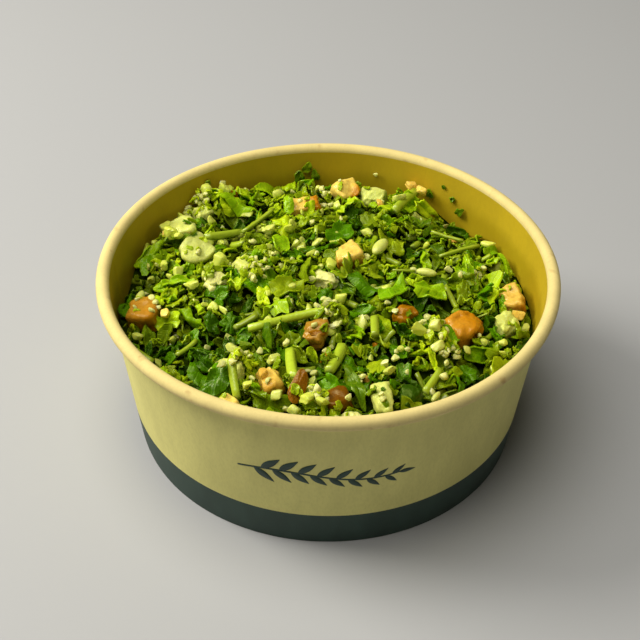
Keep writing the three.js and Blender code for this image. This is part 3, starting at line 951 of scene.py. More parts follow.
def leaf_form(rng, net, length, breadth, ruffle, curl, fold=0.5, crumple=0.05, lobed=1):
    """The middle surface of a chopped leaf: lobed and toothed, cut off straight on some sides, then
    ruffled, folded and curled. Also the number that its veins are drawn from."""
    lobes = rng.integers(3, 6)
    start = rng.uniform(0, 2 * math.pi)
    reach = 1 - 0.28 * lobed * (1 - np.abs(np.cos(lobes * (net.angles + start) / 2)) ** 0.7)
    reach += 0.05 * lobed * np.sin(3 * lobes * net.angles + start)
    for _ in range(rng.integers(0, 2)):
        facing = np.cos(net.angles - rng.uniform(0, 2 * math.pi))
        cut = rng.uniform(0.4, 0.8) / np.maximum(facing, 0.05)
        reach = np.where(facing > 0.05, np.minimum(reach, cut), reach)
    out = (net.rings[:, None] * reach[None, :]).ravel()
    angle = np.tile(net.angles, len(net.rings))
    x = 0.5 * length * out * np.cos(angle)
    y = 0.5 * length * breadth * out * np.sin(angle)
    waves = rng.integers(3, 8)
    z = ruffle * length * out**2 * np.sin(waves * angle + rng.uniform(0, 2 * math.pi))
    z += rng.normal(0, 0.12) * length * out**2
    z += fold * rng.normal(0, 1) * np.abs(y)
    for _ in range(3):
        pitch = 2 * math.pi / (length * rng.uniform(0.35, 0.8))
        way = rng.uniform(0, 2 * math.pi)
        wave = np.sin(pitch * (x * math.cos(way) + y * math.sin(way)) + rng.uniform(0, 2 * math.pi))
        z += crumple * length * wave
    bend = curl / (0.5 * length * breadth)
    y, z = np.sin(bend * y) / bend, z * np.cos(bend * y) + (1 - np.cos(bend * y)) / bend
    points = np.vstack([[0, 0, 0], np.stack([x, y, z], -1)])
    vein = points[:, 0] / length + 0.8 * np.abs(points[:, 1]) / length
    return points, vein


def nugget(divisions):
    """Points and faces of a ball of radius one, as triangles."""
    ball = bmesh.new()
    bmesh.ops.create_icosphere(ball, subdivisions=divisions, radius=1)
    points = np.array([v.co for v in ball.verts])
    faces = np.array([[v.index for v in f.verts] for f in ball.faces])
    ball.free()
    return points, faces


GRAIN_NET = nugget(2)
BIT_NET = nugget(3)
CREASE = math.radians(28)  # edges of cut bits that are sharper than this show as edges


def cut_form(rng, net, size, cuts, hardness):
    """A knife-cut bit: what lies between six sides and a few slanted cuts. The higher the hardness,
    the sharper its edges."""
    sides = np.vstack([np.eye(3), -np.eye(3), rng.normal(0, 1, (cuts, 3))])
    sides += rng.normal(0, 0.2, sides.shape)
    sides /= np.linalg.norm(sides, axis=1)[:, None]
    reach = rng.uniform(0.72, 1, len(sides))
    facing = np.maximum(net[0] @ sides.T, 0) / reach
    away = (facing**hardness).sum(1) ** (-1 / hardness)
    for ripples in (4, 7):
        along = net[0] @ rng.normal(0, 1, 3)
        away = away * (1 + 0.18 / ripples * np.sin(ripples * along + rng.uniform(0, 2 * math.pi)))
    return net[0] * away[:, None] * 0.5 * size


def some_size(rng, low, high, flat=0.5):
    """Length, breadth and height of a bit, in metres. Its length lies between low and high, in
    millimetres, and its height is at least the share flat of it."""
    return MM * rng.uniform(low, high) * np.array([1, rng.uniform(0.6, 0.95), rng.uniform(flat, 0.85)])


STEM_SIDES = 10
STEM_STEPS = 7


def stem_faces():
    """Faces of a stem's rings of points, with a middle point in each cut end."""
    tube = ring_faces(STEM_STEPS, STEM_SIDES)
    tube = np.concatenate([tube[:, [0, 1, 2]], tube[:, [0, 2, 3]]])
    here = np.arange(STEM_SIDES)
    after = (here + 1) % STEM_SIDES
    count = STEM_STEPS * STEM_SIDES
    last = count - STEM_SIDES
    start = np.stack([0 * here + count, after, here], -1)
    end = np.stack([0 * here + count + 1, last + here, last + after], -1)
    return np.concatenate([tube, start, end])


STEM_FACES = stem_faces()


def stem_form(rng, length, thick):
    """A cut length of stem along X: ribbed, slightly bowed and tapered, its ends cut on the slant."""
    along = np.linspace(-0.5, 0.5, STEM_STEPS)[:, None] * length
    around = np.linspace(0, 2 * math.pi, STEM_SIDES, endpoint=False)[None, :]
    radius = 0.5 * thick * (1 + rng.uniform(-0.18, 0.18) * along / length)
    radius = radius * (1 + 0.07 * np.cos(5 * around))
    bow = rng.normal(0, 0.02, 2) / length
    x = along + rng.uniform(-0.35, 0.35) * radius * np.cos(around) + 0 * around
    y = radius * np.cos(around) + bow[0] * along**2 * 4
    z = radius * np.sin(around) * 0.9 + bow[1] * along**2 * 4
    points = np.stack([x, y, z], -1).reshape(-1, 3)
    ends = [points[:STEM_SIDES].mean(0), points[-STEM_SIDES:].mean(0)]
    return np.vstack([points, ends])


STEM_CUT = np.concatenate([np.zeros(STEM_STEPS * STEM_SIDES), [1, 1]])

# ---- Forms of the dice --------------------------------------------------------------------------

DICE_KINDS = ("tomato", "cucumber", "onion")
# What some dice have of their own: how pale they are inside, how much painted shade darkens them
# (standing partly for darker flesh), which way their skin is or that it is up, and how many flakes and
# grains lie on them
DICE = {
    "tomato_1": {"tone": 0.8, "skin": (0.1, -0.5, -1), "cover": (0, 0)},
    "tomato_2": {"tone": 0.1, "deep": 0.08, "skin": (0.8, 0.2, 0.6), "cover": (0, 0)},
    "tomato_3": {"tone": 0.6, "deep": 0.15, "skin": (0.6, -0.5, -1)},
    "tomato_4": {"tone": 0.15, "deep": 0.35, "skin": (0.5, -0.6, -0.5), "cover": (3, 3)},
    "tomato_5": {"skin": (1, -0.5, -0.2)},
    "tomato_6": {"tone": 0.7, "skin": (1, -0.2, 0.1)},
    "tomato_7": {"tone": 0.6, "skin": (0.2, -0.5, -1)},
    "tomato_8": {"tone": 0.2, "deep": 0.6},
    "tomato_9": {"tone": 0, "deep": 0.55},
    "tomato_10": {"tone": 0, "deep": 0.15, "skin_up": True, "cover": (0, 0)},
    "cucumber_1": {"cover": (1, 0)},
    "cucumber_2": {"deep": 0.08, "skin": (-0.1, 0.7, 0.7), "cover": (5, 1)},
    "cucumber_3": {"cover": (1, 0)},
    "cucumber_5": {"cover": (8, 6)},
    "cucumber_6": {"cover": (5, 2)},
    "cucumber_7": {"deep": 0.2, "skin_up": True, "cover": (0, 0)},
    "cucumber_8": {"cover": (3, 2)},
    "onion_1": {"cover": (0, 0)},
    "onion_3": {"cover": (6, 1)},
}
BURIED_DIE = "cucumber_5"  # nearly covered by what lies round it
DIE_REACH = 5 * MM  # of the fine bits that lie on a die
# Unevenness of a cut side: length and height of its bumps, in millimetres
DIE_BUMPS = ((3.6, 0.9), (1.8, 0.5), (0.8, 0.22))


def of_die(node, name, usual):
    """What a die has of its own, or else what is usual."""
    return DICE.get(node, {}).get(name, usual)


def die_points(node, rng):
    """A die of the frame made fine: soft edges, an uneven cut surface, and skin on one side."""
    die = bmesh.new()
    die.from_mesh(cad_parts[node].data)
    bmesh.ops.remove_doubles(die, verts=die.verts, dist=0.01 * MM)
    bmesh.ops.subdivide_edges(die, edges=die.edges, cuts=5, use_grid_fill=True)
    bmesh.ops.triangulate(die, faces=die.faces)
    centre = sum((v.co for v in die.verts), Vector()) / len(die.verts)
    for _ in range(3):
        bmesh.ops.smooth_vert(die, verts=die.verts, factor=0.5, use_axis_x=True, use_axis_y=True,
                              use_axis_z=True)
    die.normal_update()
    away = Vector(of_die(node, "skin", (rng.normal(), 0.8, -1.2))).normalized()
    far = max((v.co - centre).dot(away) for v in die.verts)
    shift = Vector(rng.uniform(0, 50, 3))
    taper = Vector(rng.normal(0, 0.22, 3)) / far
    moved = []
    skin = []
    for vert in die.verts:
        place = vert.co / MM + shift
        swell = MM * (sum(high * noise.noise(place / long) for long, high in DIE_BUMPS) - 0.1)
        off = vert.co - centre
        moved.append(centre + off * (1 + taper.dot(off)) + vert.normal * swell)
        skin.append(off.dot(away) / far)
    faces = np.array([[v.index for v in f.verts] for f in die.faces])
    die.free()
    return np.array(moved), faces, np.array(skin)


def fine_dice(kind):
    """All dice of one kind: for each node its points and faces, and how near the skin its points are."""
    nodes = sorted(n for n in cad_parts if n.startswith(kind + "_"))
    if not nodes:
        raise RuntimeError(f"the frame has no {kind} dice")
    rng = np.random.default_rng(len(nodes))
    return {node: die_points(node, rng) for node in nodes}


# ---- Pieces with a place of their own, in millimetres -------------------------------------------

# Stems that lie clear on top: start, end, thickness and tone
TOP_STEMS = [
    ((-25.4, -22), (4, -11), 2.6, 0.8),
    ((-11.8, -32), (-10.2, -45), 3.4, 0.8),
    ((5, -28), (1, -40), 3.4, 0.6),
    ((15, -15), (15, -24), 2.8, 0.5),
    ((35.6, -33), (30.6, -41), 2.2, 0.6),
    ((-42, 24), (-30, 32), 2.6, 0.3),
    ((-30, 31), (-20, 42), 2, 0.2),
    ((38, 22), (52, 30), 1.8, 0.2),
    ((36, 37), (47, 33), 1.6, 0.3),
    ((23, 45), (31, 58), 3, 0.4),
    ((-39.5, 7), (-39, 2), 2.8, 0.5),
    ((-29, -42), (-27, -51), 2.6, 0.6),
]
# Leaves that lie clear on top: kind, place, length, breadth as a share of it, turn in degrees and tone
TOP_LEAVES = [
    ("bright", (33.8, 1.5), 13, 0.7, 10, 0.35),
    ("bright", (21, 0), 14, 0.8, 60, 0.12),
    ("green", (-14, -2), 14, 0.8, 20, 0.8),
    ("bright", (-16, 24), 10, 0.8, 100, 0.3),
    ("bright", (-32.5, 47), 14, 0.4, -6, 0.3),
    ("bright", (-49, 2.5), 12, 0.4, 12, 0.3),
    ("green", (8.8, -42.5), 16, 0.3, -66, 0.15),
    ("dark", (12, 3), 12, 0.8, -30, 0.5),
    ("dark", (4, 31), 12, 0.8, 40, 0.5),
    ("green", (-3, -46.5), 9, 0.6, 20, 0.7),
    ("green", (-22, -49), 11, 0.35, -38, 0.3),
    ("dark", (-33.5, -45.5), 12, 0.7, 30, 0.2),
    ("dark", (-47.5, 33), 8, 0.6, 30, 0.4),
    ("bright", (-3, -51), 8, 0.7, 10, 0.6),
]
# Seeds that lie clear on top: place, length, breadth as a share of it and turn in degrees
TOP_SEEDS = [
    ((-61.5, -4), 7, 0.4, 80),
    ((32.7, 8.6), 7, 0.42, -14),
    ((17.5, 21.7), 9, 0.48, 62),
    ((33.7, -43.4), 5, 0.38, 58),
]
# Bits, grains, clumps and crumbs that lie clear on top: place and size
TOP_BITS = [
    ((-44.5, 51), 4.8), ((-56.5, 33.5), 5.5), ((4, -7), 4), ((-29, -34.5), 4.6), ((-5.5, -52.5), 4.6),
    ((-9.5, -55), 4), ((-1.5, -53), 3.6), ((24, 50), 3.6), ((-54, 25), 5), ((-51, 22.5), 3.6),
    ((-16, -33.5), 4), ((-24, -48.5), 4), ((1, 10.5), 4.4), ((-37.6, 53), 4.2), ((-41, 32.5), 3.6),
    ((-20.4, 30.4), 4.6), ((-13, 33), 3.6), ((-36, 11.5), 5), ((-55, 11), 4.4), ((-59, 8), 3.4),
    ((-44.5, -0.5), 4.6), ((29.4, -21.7), 5), ((33.6, -21), 4), ((34.7, -27), 4.6),
    ((44.4, -24.7), 3.4), ((19, -38.6), 3.4), ((-15, -50), 3.6),
]
TOP_GRAINS = [
    ((-20.8, -30), 2.8), ((-12.7, -30.5), 2.8), ((-3.8, -37.6), 3), ((-0.3, -29), 2.6),
    ((-2.8, -50), 3), ((6.5, -50), 2.6), ((21, -30.5), 2.6), ((17.8, -34), 2.8), ((25.4, -27.6), 2.6),
    ((11, -40.6), 2.2), ((36.5, -36), 2.8), ((-22.7, -42), 2.6), ((40.6, 14.2), 2.8), ((44, 8.8), 2.6),
    ((-57, -7.5), 2.8), ((-54.5, -12), 2.6), ((-56, -15), 2.6), ((-6, 37), 2.6),
]
TOP_CLUMPS = [
    ((-24, 3), 4), ((33, -20), 5), ((38, -27), 3.5), ((0, -13), 4), ((2, -16), 4), ((-26, -35), 3.5),
    ((-2, -49), 3), ((-47, 47), 4.5),
]
TOP_CRUMBS = [
    ((-52, -14), 3.4), ((63, -4), 4.4), ((-56, 30), 3.6), ((35, 60), 4.5), ((30.5, 61), 4),
    ((-19.5, -41), 4),
]
# Strips of tomato skin: place, length, breadth as a share of it and turn in degrees
TOP_SKINS = [
    ((-8.6, -48), 11, 0.45, 66),
    ((-0.6, -34), 6.5, 0.5, 80),
    ((-3, -24), 6, 0.5, 10),
]
# Bits of leaf that stick to the wall inside: angle in degrees, height and length, and tone
WALL_LEAVES = [
    (97, 53.8, 5, 0.3),
    (99.5, 50.8, 6, 0.1),
    (94.5, 50.4, 5, 0.15),
    (54, 54.4, 2, 0),
    (50.5, 51.2, 3, 0.05),
    (47, 48, 4.5, 0.1),
    (58, 50, 4, 0.1),
    (129, 56, 3, 0.3),
]
WALL_GRAINS = [(76, 52.4), (124, 54)]  # angle in degrees and height


def stuck_to_wall(form, angle, height):
    """A piece's points set flat against the wall inside, at an angle in degrees and a height."""
    out = np.array([math.cos(math.radians(angle)), math.sin(math.radians(angle)), 0])
    side = np.array([-out[1], out[0], 0])
    points = form @ np.array([side, [0, 0, 1], -out]) + wall_radius(height) * out + [0, 0, height]
    over = np.hypot(points[:, 0], points[:, 1]) - wall_radius(points[:, 2]) + BOARD + WALL_CLEAR
    return points - over.max() * out


# ---- The heap's small pieces, laid one after another --------------------------------------------

KINDS = ("leaf_dark", "leaf_green", "leaf_bright", "flake", "skin", "stem", "grain", "bit", "crumb")
# How much of a piece may lie on what is kept, and how far its place has to be under the tops' height
LIMITS = {
    "leaf": (0.25, 1.5 * MM),
    "flake": (0.4, 0.9 * MM),
    "stem": (0.12, 1.8 * MM),
    "lump": (0.3, 0.6 * MM),
}
ANYWHERE = (1, -1)  # limits that every place meets
LEAF_SPREAD = (1.88, 0.34)  # mean and spread of the logarithm of a leaf's length in millimetres
LEAF_LENGTHS = (3.6, 13)  # shortest and longest, in millimetres
DARK_BELOW = 0.4  # leaves of less light than this are of the dark kind
GREEN_BELOW = 0.7  # and those of less than this of the green kind
HOLLOW_SHADE_SHARE = 0.6  # of a hollow's depth adds to the painted shade of its pieces
CLUMP_FILL = 2.2  # grains for each millimetre of a clump's radius
SKIN_FORM = {"fold": 0.1, "crumple": 0.015, "lobed": 0.6}  # smoother than a leaf's
# Net, smallest and largest size in millimetres and flattest, cuts, hardness, palest tone and sink
LUMPS = {
    "grain": (GRAIN_NET, (1.7, 2.7, 0.6), 3, 7, 1, 0.35),
    "bit": (BIT_NET, (2, 4.8, 0.4), 4, 6, 1, 0.5),
    "crumb": (BIT_NET, (2.2, 4.8, 0.5), 3, 12, 0.6, 0.4),
}
# Bits, crumbs and grains that lie clear on top, and their hardness
TOP_LUMPS = (("bit", TOP_BITS, 8), ("crumb", TOP_CRUMBS, 12), ("grain", TOP_GRAINS, 5))
# The share of the pieces that lies in each layer, from below
LAYERS = [
    {"leaf": 0.3, "flake": 0.25, "stem": 0.2, "bit": 0.2, "crumb": 0.3, "clump": 0.2},
    {"leaf": 0.7, "flake": 0.4, "stem": 0.8, "bit": 0.8, "crumb": 0.7, "clump": 0.8, "grain": 0.4},
    {"flake": 0.35, "grain": 0.6},
]


class Salad:
    """Lays the small pieces of the heap and keeps them in a batch for each kind."""

    def __init__(self, settings):
        self.rng = np.random.default_rng(settings.seed)
        self.thickness = settings.leaf_thickness
        self.on_top = False  # while the pieces that have a place of their own are laid
        self.pile = Pile()
        self.batches = {kind: Batch() for kind in KINDS}
        self.dice = {node: die for kind in DICE_KINDS for node, die in fine_dice(kind).items()}
        for node, (points, faces, _) in self.dice.items():
            self.pile.cover_die(points, faces, keep=node != BURIED_DIE)

    def depth(self, points):
        """How much painted shade a piece gets: 0 among the tops, 1 far under them and in the gaps."""
        x, y, z = points.mean(0)
        if not self.on_top and in_gap(x, y):
            return 1
        under = heap_height(x, y) - HOLLOW_SHADE_SHARE * relief(x, y) - z
        return np.clip((under - PAINTED_SHADE_START) / PAINTED_SHADE_DEPTH, 0, 1)

    def leaf(self, kind, place, length, breadth, ruffle, curl, tone, lean=0.0, turn=None, keep=False):
        """A leaf, a flake or a strip of skin. Its breadth is a share of its length. It is turned by an
        angle in degrees, or else at random, and then it also leans."""
        rng = self.rng
        net = FLAKE_NET if kind == "flake" else LEAF_NET
        own_form = SKIN_FORM if kind == "skin" else {}
        form, vein = leaf_form(rng, net, length, breadth, ruffle, curl, **own_form)
        form = tilted(form, rng, lean) if turn is None else spun(form, math.radians(turn))
        form = self.pile.level(form, place)
        limits = ANYWHERE if keep else LIMITS.get(kind, LIMITS["leaf"])
        middle = self.pile.lay(form, place, *limits, sink=0.4, drape=0.25)
        if middle is None:
            return
        self.pile.cover(middle, 0.17 * length, 0.5 * self.thickness, keep)
        self.add_leaf(kind, net, middle, vein, tone)

    def add_leaf(self, kind, net, middle, vein, tone):
        """Adds a leaf that has its place, from its middle surface."""
        points = net.thick(middle, self.thickness)
        numbers = {"tone": tone, "edge": np.tile(net.share, 2), "vein": np.tile(vein, 2), "rim": net.rim}
        self.batches[kind].add(points, net.faces, deep=self.depth(points), **numbers)

    def stem(self, place, length, thick, tone, turn=None):
        """A cut stem. One that is turned by an angle, in radians, has its own place."""
        form = stem_form(self.rng, length, thick)
        keep = turn is not None
        form = spun(form, turn) if keep else tilted(form, self.rng, 0.18)
        form = self.pile.level(form, place)
        limits = ANYWHERE if keep else LIMITS["stem"]
        points = self.pile.lay(form, place, *limits, sink=0.35)
        if points is None:
            return
        self.pile.cover(points, 0.7 * thick, keep=keep)
        self.batches["stem"].add(points, STEM_FACES, tone=tone, edge=STEM_CUT, deep=self.depth(points))

    def lump(self, kind, form, net, place, tone, sink, keep=False, turn=None):
        """A grain, a bit or a crumb, turned by an angle in degrees or at random."""
        if turn is None:
            form = tilted(form, self.rng, 0.3 if keep else 0.8)
        else:
            form = spun(form, math.radians(turn))
        limits = ANYWHERE if keep else LIMITS["lump"]
        points = self.pile.lay(form, place, *limits, sink=sink)
        if points is None:
            return
        self.pile.cover(points, 0.4 * MM, keep=keep)
        self.batches[kind].add(points, net[1], tone=tone, deep=self.depth(points))

    def some_leaf(self, reach):
        rng = self.rng
        length = MM * np.clip(rng.lognormal(*LEAF_SPREAD), *LEAF_LENGTHS)
        breadth = rng.uniform(0.45, 0.95)
        ruffle = rng.uniform(0.06, 0.2)
        curl = rng.choice([-1, 1]) * rng.uniform(0.3, 2)
        place = self.pile.low_place(rng, 3, reach)
        draw = patch(*place) + rng.normal(0, 0.17)
        kind = "dark" if draw < DARK_BELOW else "green" if draw < GREEN_BELOW else "bright"
        self.leaf("leaf_" + kind, place, length, breadth, ruffle, curl, tone=rng.uniform(), lean=0.75)

    def some_flake(self, reach, around=None, keep=False):
        rng = self.rng
        place = self.pile.low_place(rng, 1 if keep else 2, reach, around)
        size = MM * rng.uniform(1.8, 4.4)
        tone = np.clip(patch(*place) + rng.normal(0, 0.12), 0, 1)
        breadth = rng.uniform(0.5, 1)
        self.leaf("flake", place, size, breadth, ruffle=0.12, curl=0.8, tone=tone, lean=0.9, keep=keep)

    def some_stem(self, reach):
        rng = self.rng
        place = self.pile.low_place(rng, 4, reach)
        size = MM * rng.uniform(3, 9)
        self.stem(place, size, MM * rng.uniform(1.3, 2.6), rng.uniform())

    def some_lump(self, kind, tries, reach, around=None, keep=False):
        """A grain, a bit or a crumb at a low place."""
        net, sizes, cuts, hardness, palest, sink = LUMPS[kind]
        place = self.pile.low_place(self.rng, tries, reach, around)
        form = cut_form(self.rng, net, some_size(self.rng, *sizes), cuts, hardness)
        self.lump(kind, form, net, place, self.rng.uniform(0, palest), sink, keep)

    def some_grain(self, reach, around=None, keep=False):
        self.some_lump("grain", 1 if keep else 2, reach, around, keep)

    def some_clump(self, reach):
        place = self.pile.low_place(self.rng, 3, reach)
        self.clump(place, MM * self.rng.uniform(1.5, 4))

    def clump(self, place, size, keep=False):
        """Grains, pale bits and fine bits of leaf that stick together."""
        for i in range(round(CLUMP_FILL * size / MM)):
            self.some_grain(size, place, keep)
            self.some_flake(size, place, keep)
            if i % 4 == 0:
                self.some_bit(size, place)

    def some_bit(self, reach, around=None):
        if around is None and self.rng.uniform() < PALE_SHARE:
            around, reach = metres(PALE_SIDE[0]), MM * PALE_SIDE[1]
        self.some_lump("bit", 3, reach, around)

    def some_crumb(self, reach):
        self.some_lump("crumb", 3, reach)

    def top_pieces(self):
        """The pieces that have a place of their own."""
        rng = self.rng
        self.on_top = True
        for kind, at, size, breadth, turn, tone in TOP_LEAVES:
            curl = rng.choice([-1, 1]) * rng.uniform(0.8, 1.6)
            place, length = metres(at), MM * size
            self.leaf("leaf_" + kind, place, length, breadth, 0.1, curl, tone, turn=turn, keep=True)
        for start, end, thick, tone in TOP_STEMS:
            start, end = metres(start), metres(end)
            across = end - start
            turn = math.atan2(across[1], across[0])
            self.stem((start + end) / 2, np.hypot(*across), MM * thick, tone, turn)
        for at, size in TOP_CLUMPS:
            self.clump(metres(at), MM * size, keep=True)
        for at, size, breadth, turn in TOP_SKINS:
            self.leaf("skin", metres(at), MM * size, breadth, 0.04, -1, 0.3, turn=turn, keep=True)
            for _ in range(4):
                self.some_flake(0.45 * MM * size, metres(at), keep=True)
        for kind, places, hardness in TOP_LUMPS:
            for at, size in places:
                form = cut_form(rng, BIT_NET, some_size(rng, size, size, 0.6), 3, hardness)
                self.lump(kind, form, BIT_NET, metres(at), rng.uniform(0.2, 1), 0.35, keep=True)
        for at, size, breadth, turn in TOP_SEEDS:
            form = BIT_NET[0] * 0.5 * MM * size * np.array([1, breadth, 0.4])
            self.lump("bit", form, BIT_NET, metres(at), 1, 0.3, keep=True, turn=turn)
        for node, (points, _, _) in self.dice.items():
            middle = points[:, :2].mean(0)
            flakes, grains = of_die(node, "cover", (rng.integers(1, 4), rng.integers(0, 2)))
            for _ in range(flakes):
                self.some_flake(DIE_REACH, middle, keep=True)
            for _ in range(grains):
                self.some_grain(DIE_REACH, middle, keep=True)
        self.on_top = False

    def wall_pieces(self):
        """The bits that stick to the wall inside."""
        rng = self.rng
        for angle, height, size, tone in WALL_LEAVES:
            form, vein = leaf_form(rng, FLAKE_NET, MM * size, breadth=0.7, ruffle=0.06, curl=0.4)
            middle = stuck_to_wall(spun(form, rng.uniform(0, math.pi)), angle, MM * height)
            self.add_leaf("flake", FLAKE_NET, middle, vein, tone)
        for angle, height in WALL_GRAINS:
            form = cut_form(rng, GRAIN_NET, some_size(rng, 2, 2.4), cuts=3, hardness=7)
            points = stuck_to_wall(form, angle, MM * height)
            self.batches["grain"].add(points, GRAIN_NET[1], tone=0.7, deep=0)

    def heap_up(self, settings):
        """Lays everything: two layers of mixed pieces, those with a place of their own, then the fine
        bits that lie on top."""
        reach = HEAP_RADIUS - 1.5 * MM
        totals = {
            "leaf": settings.leaves,
            "flake": settings.flakes,
            "stem": settings.stems,
            "grain": settings.grains,
            "clump": settings.clumps,
            "bit": settings.bits,
            "crumb": settings.crumbs,
        }
        for layer, shares in enumerate(LAYERS):
            if layer == 1:
                self.pile.keep_gaps()
            if layer == 2:
                self.top_pieces()
            order = [kind for kind, share in shares.items() for _ in range(round(share * totals[kind]))]
            self.rng.shuffle(order)
            for kind in order:
                getattr(self, "some_" + kind)(reach)
        self.wall_pieces()


class TABBOULEH_OT_core(bpy.types.Operator):
    """Builds the dark core of the heap"""

    bl_idname = "tabbouleh.core"
    bl_label = "Heap Core"

    def execute(self, context):
        sectors, rows = 160, 44
        hub = 0.004  # radius of the innermost row, as a share of the outermost
        angles = np.linspace(0, 2 * math.pi, sectors, endpoint=False)
        bottom = BASE_HIGH.z + WALL_CLEAR
        edge, foot = (wall_radius(z) - BOARD - WALL_CLEAR for z in (HEAP_EDGE - CORE_DEPTH, bottom))
        radii = np.concatenate([edge * np.linspace(hub, 1, rows), [foot, hub * edge]])
        x, y = (radii[:, None] * f(angles)[None, :] for f in (np.cos, np.sin))
        z = np.full(x.shape, bottom)
        rough = np.random.default_rng(3).normal(0, 0.25 * MM, (rows, sectors))
        z[:rows] = core_height(x[:rows], y[:rows]) + rough
        points = np.stack([x, y, z], -1).reshape(-1, 3)
        faces = ring_faces(rows + 2, sectors, closed_rows=True)
        finish = core_finish(context.scene.tabbouleh_colours.core)
        core = shown("salad_core", points, [faces], [finish])
        settled(core, "parsley", "salad")
        return {"FINISHED"}


class TABBOULEH_OT_salad(bpy.types.Operator):
    """Heaps up the chopped leaves, stems, bulgur and small bits"""

    bl_idname = "tabbouleh.salad"
    bl_label = "Chopped Salad"

    def execute(self, context):
        settings = context.scene.tabbouleh_heap
        look = context.scene.tabbouleh_colours
        dark, green, bright = look.leaf_dark, look.leaf_green, look.leaf_bright
        salad = Salad(settings)
        salad.heap_up(settings)
        finishes = {
            "leaf_dark": leaf_finish("parsley_dark", shade(dark, 0.7), green),
            "leaf_green": leaf_finish("parsley_green", dark, shade(bright, 0.7)),
            "leaf_bright": leaf_finish("parsley_bright", green, shade(bright, 1.2)),
            "flake": leaf_finish("parsley_flake", dark, bright),
            "skin": die_finish("tomato_skin", look.tomato_skin, shade(look.tomato, 0.9),
                               shade(look.tomato_skin, 0.6), 2 * MM),
            "stem": stem_finish(look.stem),
            "grain": grain_finish("bulgur", shade(look.grain, 0.8), look.grain, 1.2 * MM),
            "bit": grain_finish("pale_bit", look.pale, look.cucumber, 1.6 * MM),
            "crumb": die_finish("tomato_bit", look.tomato, look.tomato_pale, look.tomato_skin, 2.5 * MM),
        }
        slots = {"crumb": "tomato", "skin": "tomato", "bit": "onion"}
        for kind, batch in salad.batches.items():
            slot = slots.get(kind, "parsley")
            crease = CREASE if kind in LUMPS else None
            batch.build("chopped_" + kind, finishes[kind], slot, crease=crease)
        return {"FINISHED"}


# ---- Dice ---------------------------------------------------------------------------------------


def dice_finish(kind, look):
    """The finish of one kind of dice."""
    if kind == "tomato":
        return die_finish(kind, look.tomato, look.tomato_pale, look.tomato_skin, 4 * MM)
    if kind == "cucumber":
        flesh = look.cucumber
        return die_finish(kind, shade(flesh, 0.75), flesh, look.cucumber_skin, 3 * MM, LEAF_GLOSS)
    return die_finish(kind, shade(look.onion, 0.85), look.onion, shade(look.onion, 0.8), 3 * MM)


class TABBOULEH_OT_dice(bpy.types.Operator):
    """Finishes the dice of one kind"""

    bl_idname = "tabbouleh.dice"
    bl_label = "Dice"
    kind: EnumProperty(name="Kind", items=[(kind, kind.title(), "") for kind in DICE_KINDS])

    def execute(self, context):
        batch = Batch()
        dice = fine_dice(self.kind)
        for node, (points, faces, skin) in dice.items():
            if of_die(node, "skin_up", False):
                skin = ALL_SKIN
            # painted shade from the table darkens some dice
            tone, deep = of_die(node, "tone", 0.9), of_die(node, "deep", 0)
            batch.add(points, faces, skin=skin, tone=tone, deep=deep)
        finish = dice_finish(self.kind, context.scene.tabbouleh_colours)
        batch.build("diced_" + self.kind, finish, self.kind, *dice)
        return {"FINISHED"}


# ---- Stage --------------------------------------------------------------------------------------

FRAME_WIDTH = 640  # of what the camera sees, in pixels
FOCAL_PIXELS = 1327  # the camera's focal length
FRAME_SHIFT = (7.2, 16.2)  # right and down, in pixels
CAMERA_DISTANCE = 449 * MM
CAMERA_ELEVATION = math.radians(39.99)
CAMERA_ROLL = math.radians(0.98)
FLOOR_REACH = 3.0  # from the middle to each side
SKY_COLOUR = (1, 0.94, 0.6, 1)
# Place, breadth and colour of each light
LIGHTS = {
    "key": ((-0.84, 0.2, 0.74), 0.55, (1, 0.95, 0.8)),
    "top": ((-0.25, -0.1, 1.12), 1.0, (1, 0.96, 0.84)),
}


def area_light(name, place, target, size, watts, colour):
    """A round light that faces the target."""
    data = bpy.data.lights.new(name, "AREA")
    data.shape = "DISK"
    data.size = size
    data.energy = watts
    data.color = colour
    light = bpy.data.objects.new(name, data)
    light.location = place
    light.rotation_euler = (Vector(target) - Vector(place)).to_track_quat("-Z", "Y").to_euler()
    bpy.context.scene.collection.objects.link(light)


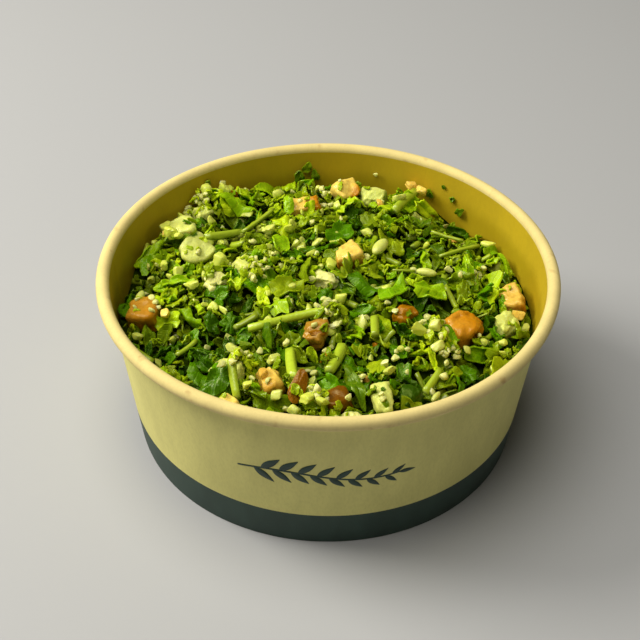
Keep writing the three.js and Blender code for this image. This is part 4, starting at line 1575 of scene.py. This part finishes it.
class TABBOULEH_OT_stage(bpy.types.Operator):
    """Adds the floor, the lights and the camera"""

    bl_idname = "tabbouleh.stage"
    bl_label = "Stage"

    def execute(self, context):
        look = context.scene.tabbouleh_stage
        corners = FLOOR_REACH * np.array([(-1, -1, 0), (1, -1, 0), (1, 1, 0), (-1, 1, 0)])
        floor = shown("floor", corners, [np.array([[0, 1, 2, 3]])], [floor_finish(look.floor)])

        world = bpy.data.worlds.new("sky")
        world.use_nodes = True
        background = world.node_tree.nodes["Background"]
        background.inputs["Color"].default_value = SKY_COLOUR
        background.inputs["Strength"].default_value = look.sky
        context.scene.world = world
        middle = (0, 0, BOWL_HEIGHT / 2)
        for name, (place, size, colour) in LIGHTS.items():
            area_light(name, place, middle, size, getattr(look, name), colour)
        context.scene.view_settings.view_transform = "Standard"

        data = bpy.data.cameras.new("camera")
        data.sensor_width = 36
        data.lens = FOCAL_PIXELS * data.sensor_width / FRAME_WIDTH
        data.shift_x = -FRAME_SHIFT[0] / FRAME_WIDTH
        data.shift_y = FRAME_SHIFT[1] / FRAME_WIDTH
        data.clip_start = 0.01
        camera = bpy.data.objects.new("camera", data)
        back = Vector((0, -math.cos(CAMERA_ELEVATION), math.sin(CAMERA_ELEVATION)))
        tip = Matrix.Rotation(math.pi / 2 - CAMERA_ELEVATION, 4, "X")
        roll = Matrix.Rotation(CAMERA_ROLL, 4, "Z")
        camera.matrix_world = Matrix.Translation(Vector(middle) + CAMERA_DISTANCE * back) @ tip @ roll
        context.scene.collection.objects.link(camera)
        context.scene.camera = camera
        return {"FINISHED"}


# ---- Panel and registration ---------------------------------------------------------------------

OPERATORS = (
    TABBOULEH_OT_bowl,
    TABBOULEH_OT_print,
    TABBOULEH_OT_core,
    TABBOULEH_OT_salad,
    TABBOULEH_OT_dice,
    TABBOULEH_OT_stage,
)


class TABBOULEH_PT_panel(bpy.types.Panel):
    """Lists the operators and their settings"""

    bl_idname = "TABBOULEH_PT_panel"
    bl_label = "Tabbouleh Salad"
    bl_space_type = "VIEW_3D"
    bl_region_type = "UI"
    bl_category = "Tabbouleh"

    def draw(self, context):
        for operator in OPERATORS:
            if operator is TABBOULEH_OT_dice:
                self.layout.operator_menu_enum(operator.bl_idname, "kind")
            else:
                self.layout.operator(operator.bl_idname)
        for name, group in SETTINGS.items():
            column = self.layout.column(heading=group.__name__)
            for setting in group.__annotations__:
                column.prop(getattr(context.scene, name), setting)


def register():
    for group in SETTINGS.values():
        bpy.utils.register_class(group)
    for name, group in SETTINGS.items():
        setattr(bpy.types.Scene, name, PointerProperty(type=group))
    for operator in OPERATORS:
        bpy.utils.register_class(operator)
    bpy.utils.register_class(TABBOULEH_PT_panel)


def unregister():
    bpy.utils.unregister_class(TABBOULEH_PT_panel)
    for operator in reversed(OPERATORS):
        bpy.utils.unregister_class(operator)
    for name, group in reversed(SETTINGS.items()):
        delattr(bpy.types.Scene, name)
        bpy.utils.unregister_class(group)


def main():
    register()
    bpy.ops.tabbouleh.bowl()
    bpy.ops.tabbouleh.print()
    bpy.ops.tabbouleh.core()
    bpy.ops.tabbouleh.salad()
    for kind in DICE_KINDS:
        bpy.ops.tabbouleh.dice(kind=kind)
    bpy.ops.tabbouleh.stage()


if __name__ == "__main__":
    main()
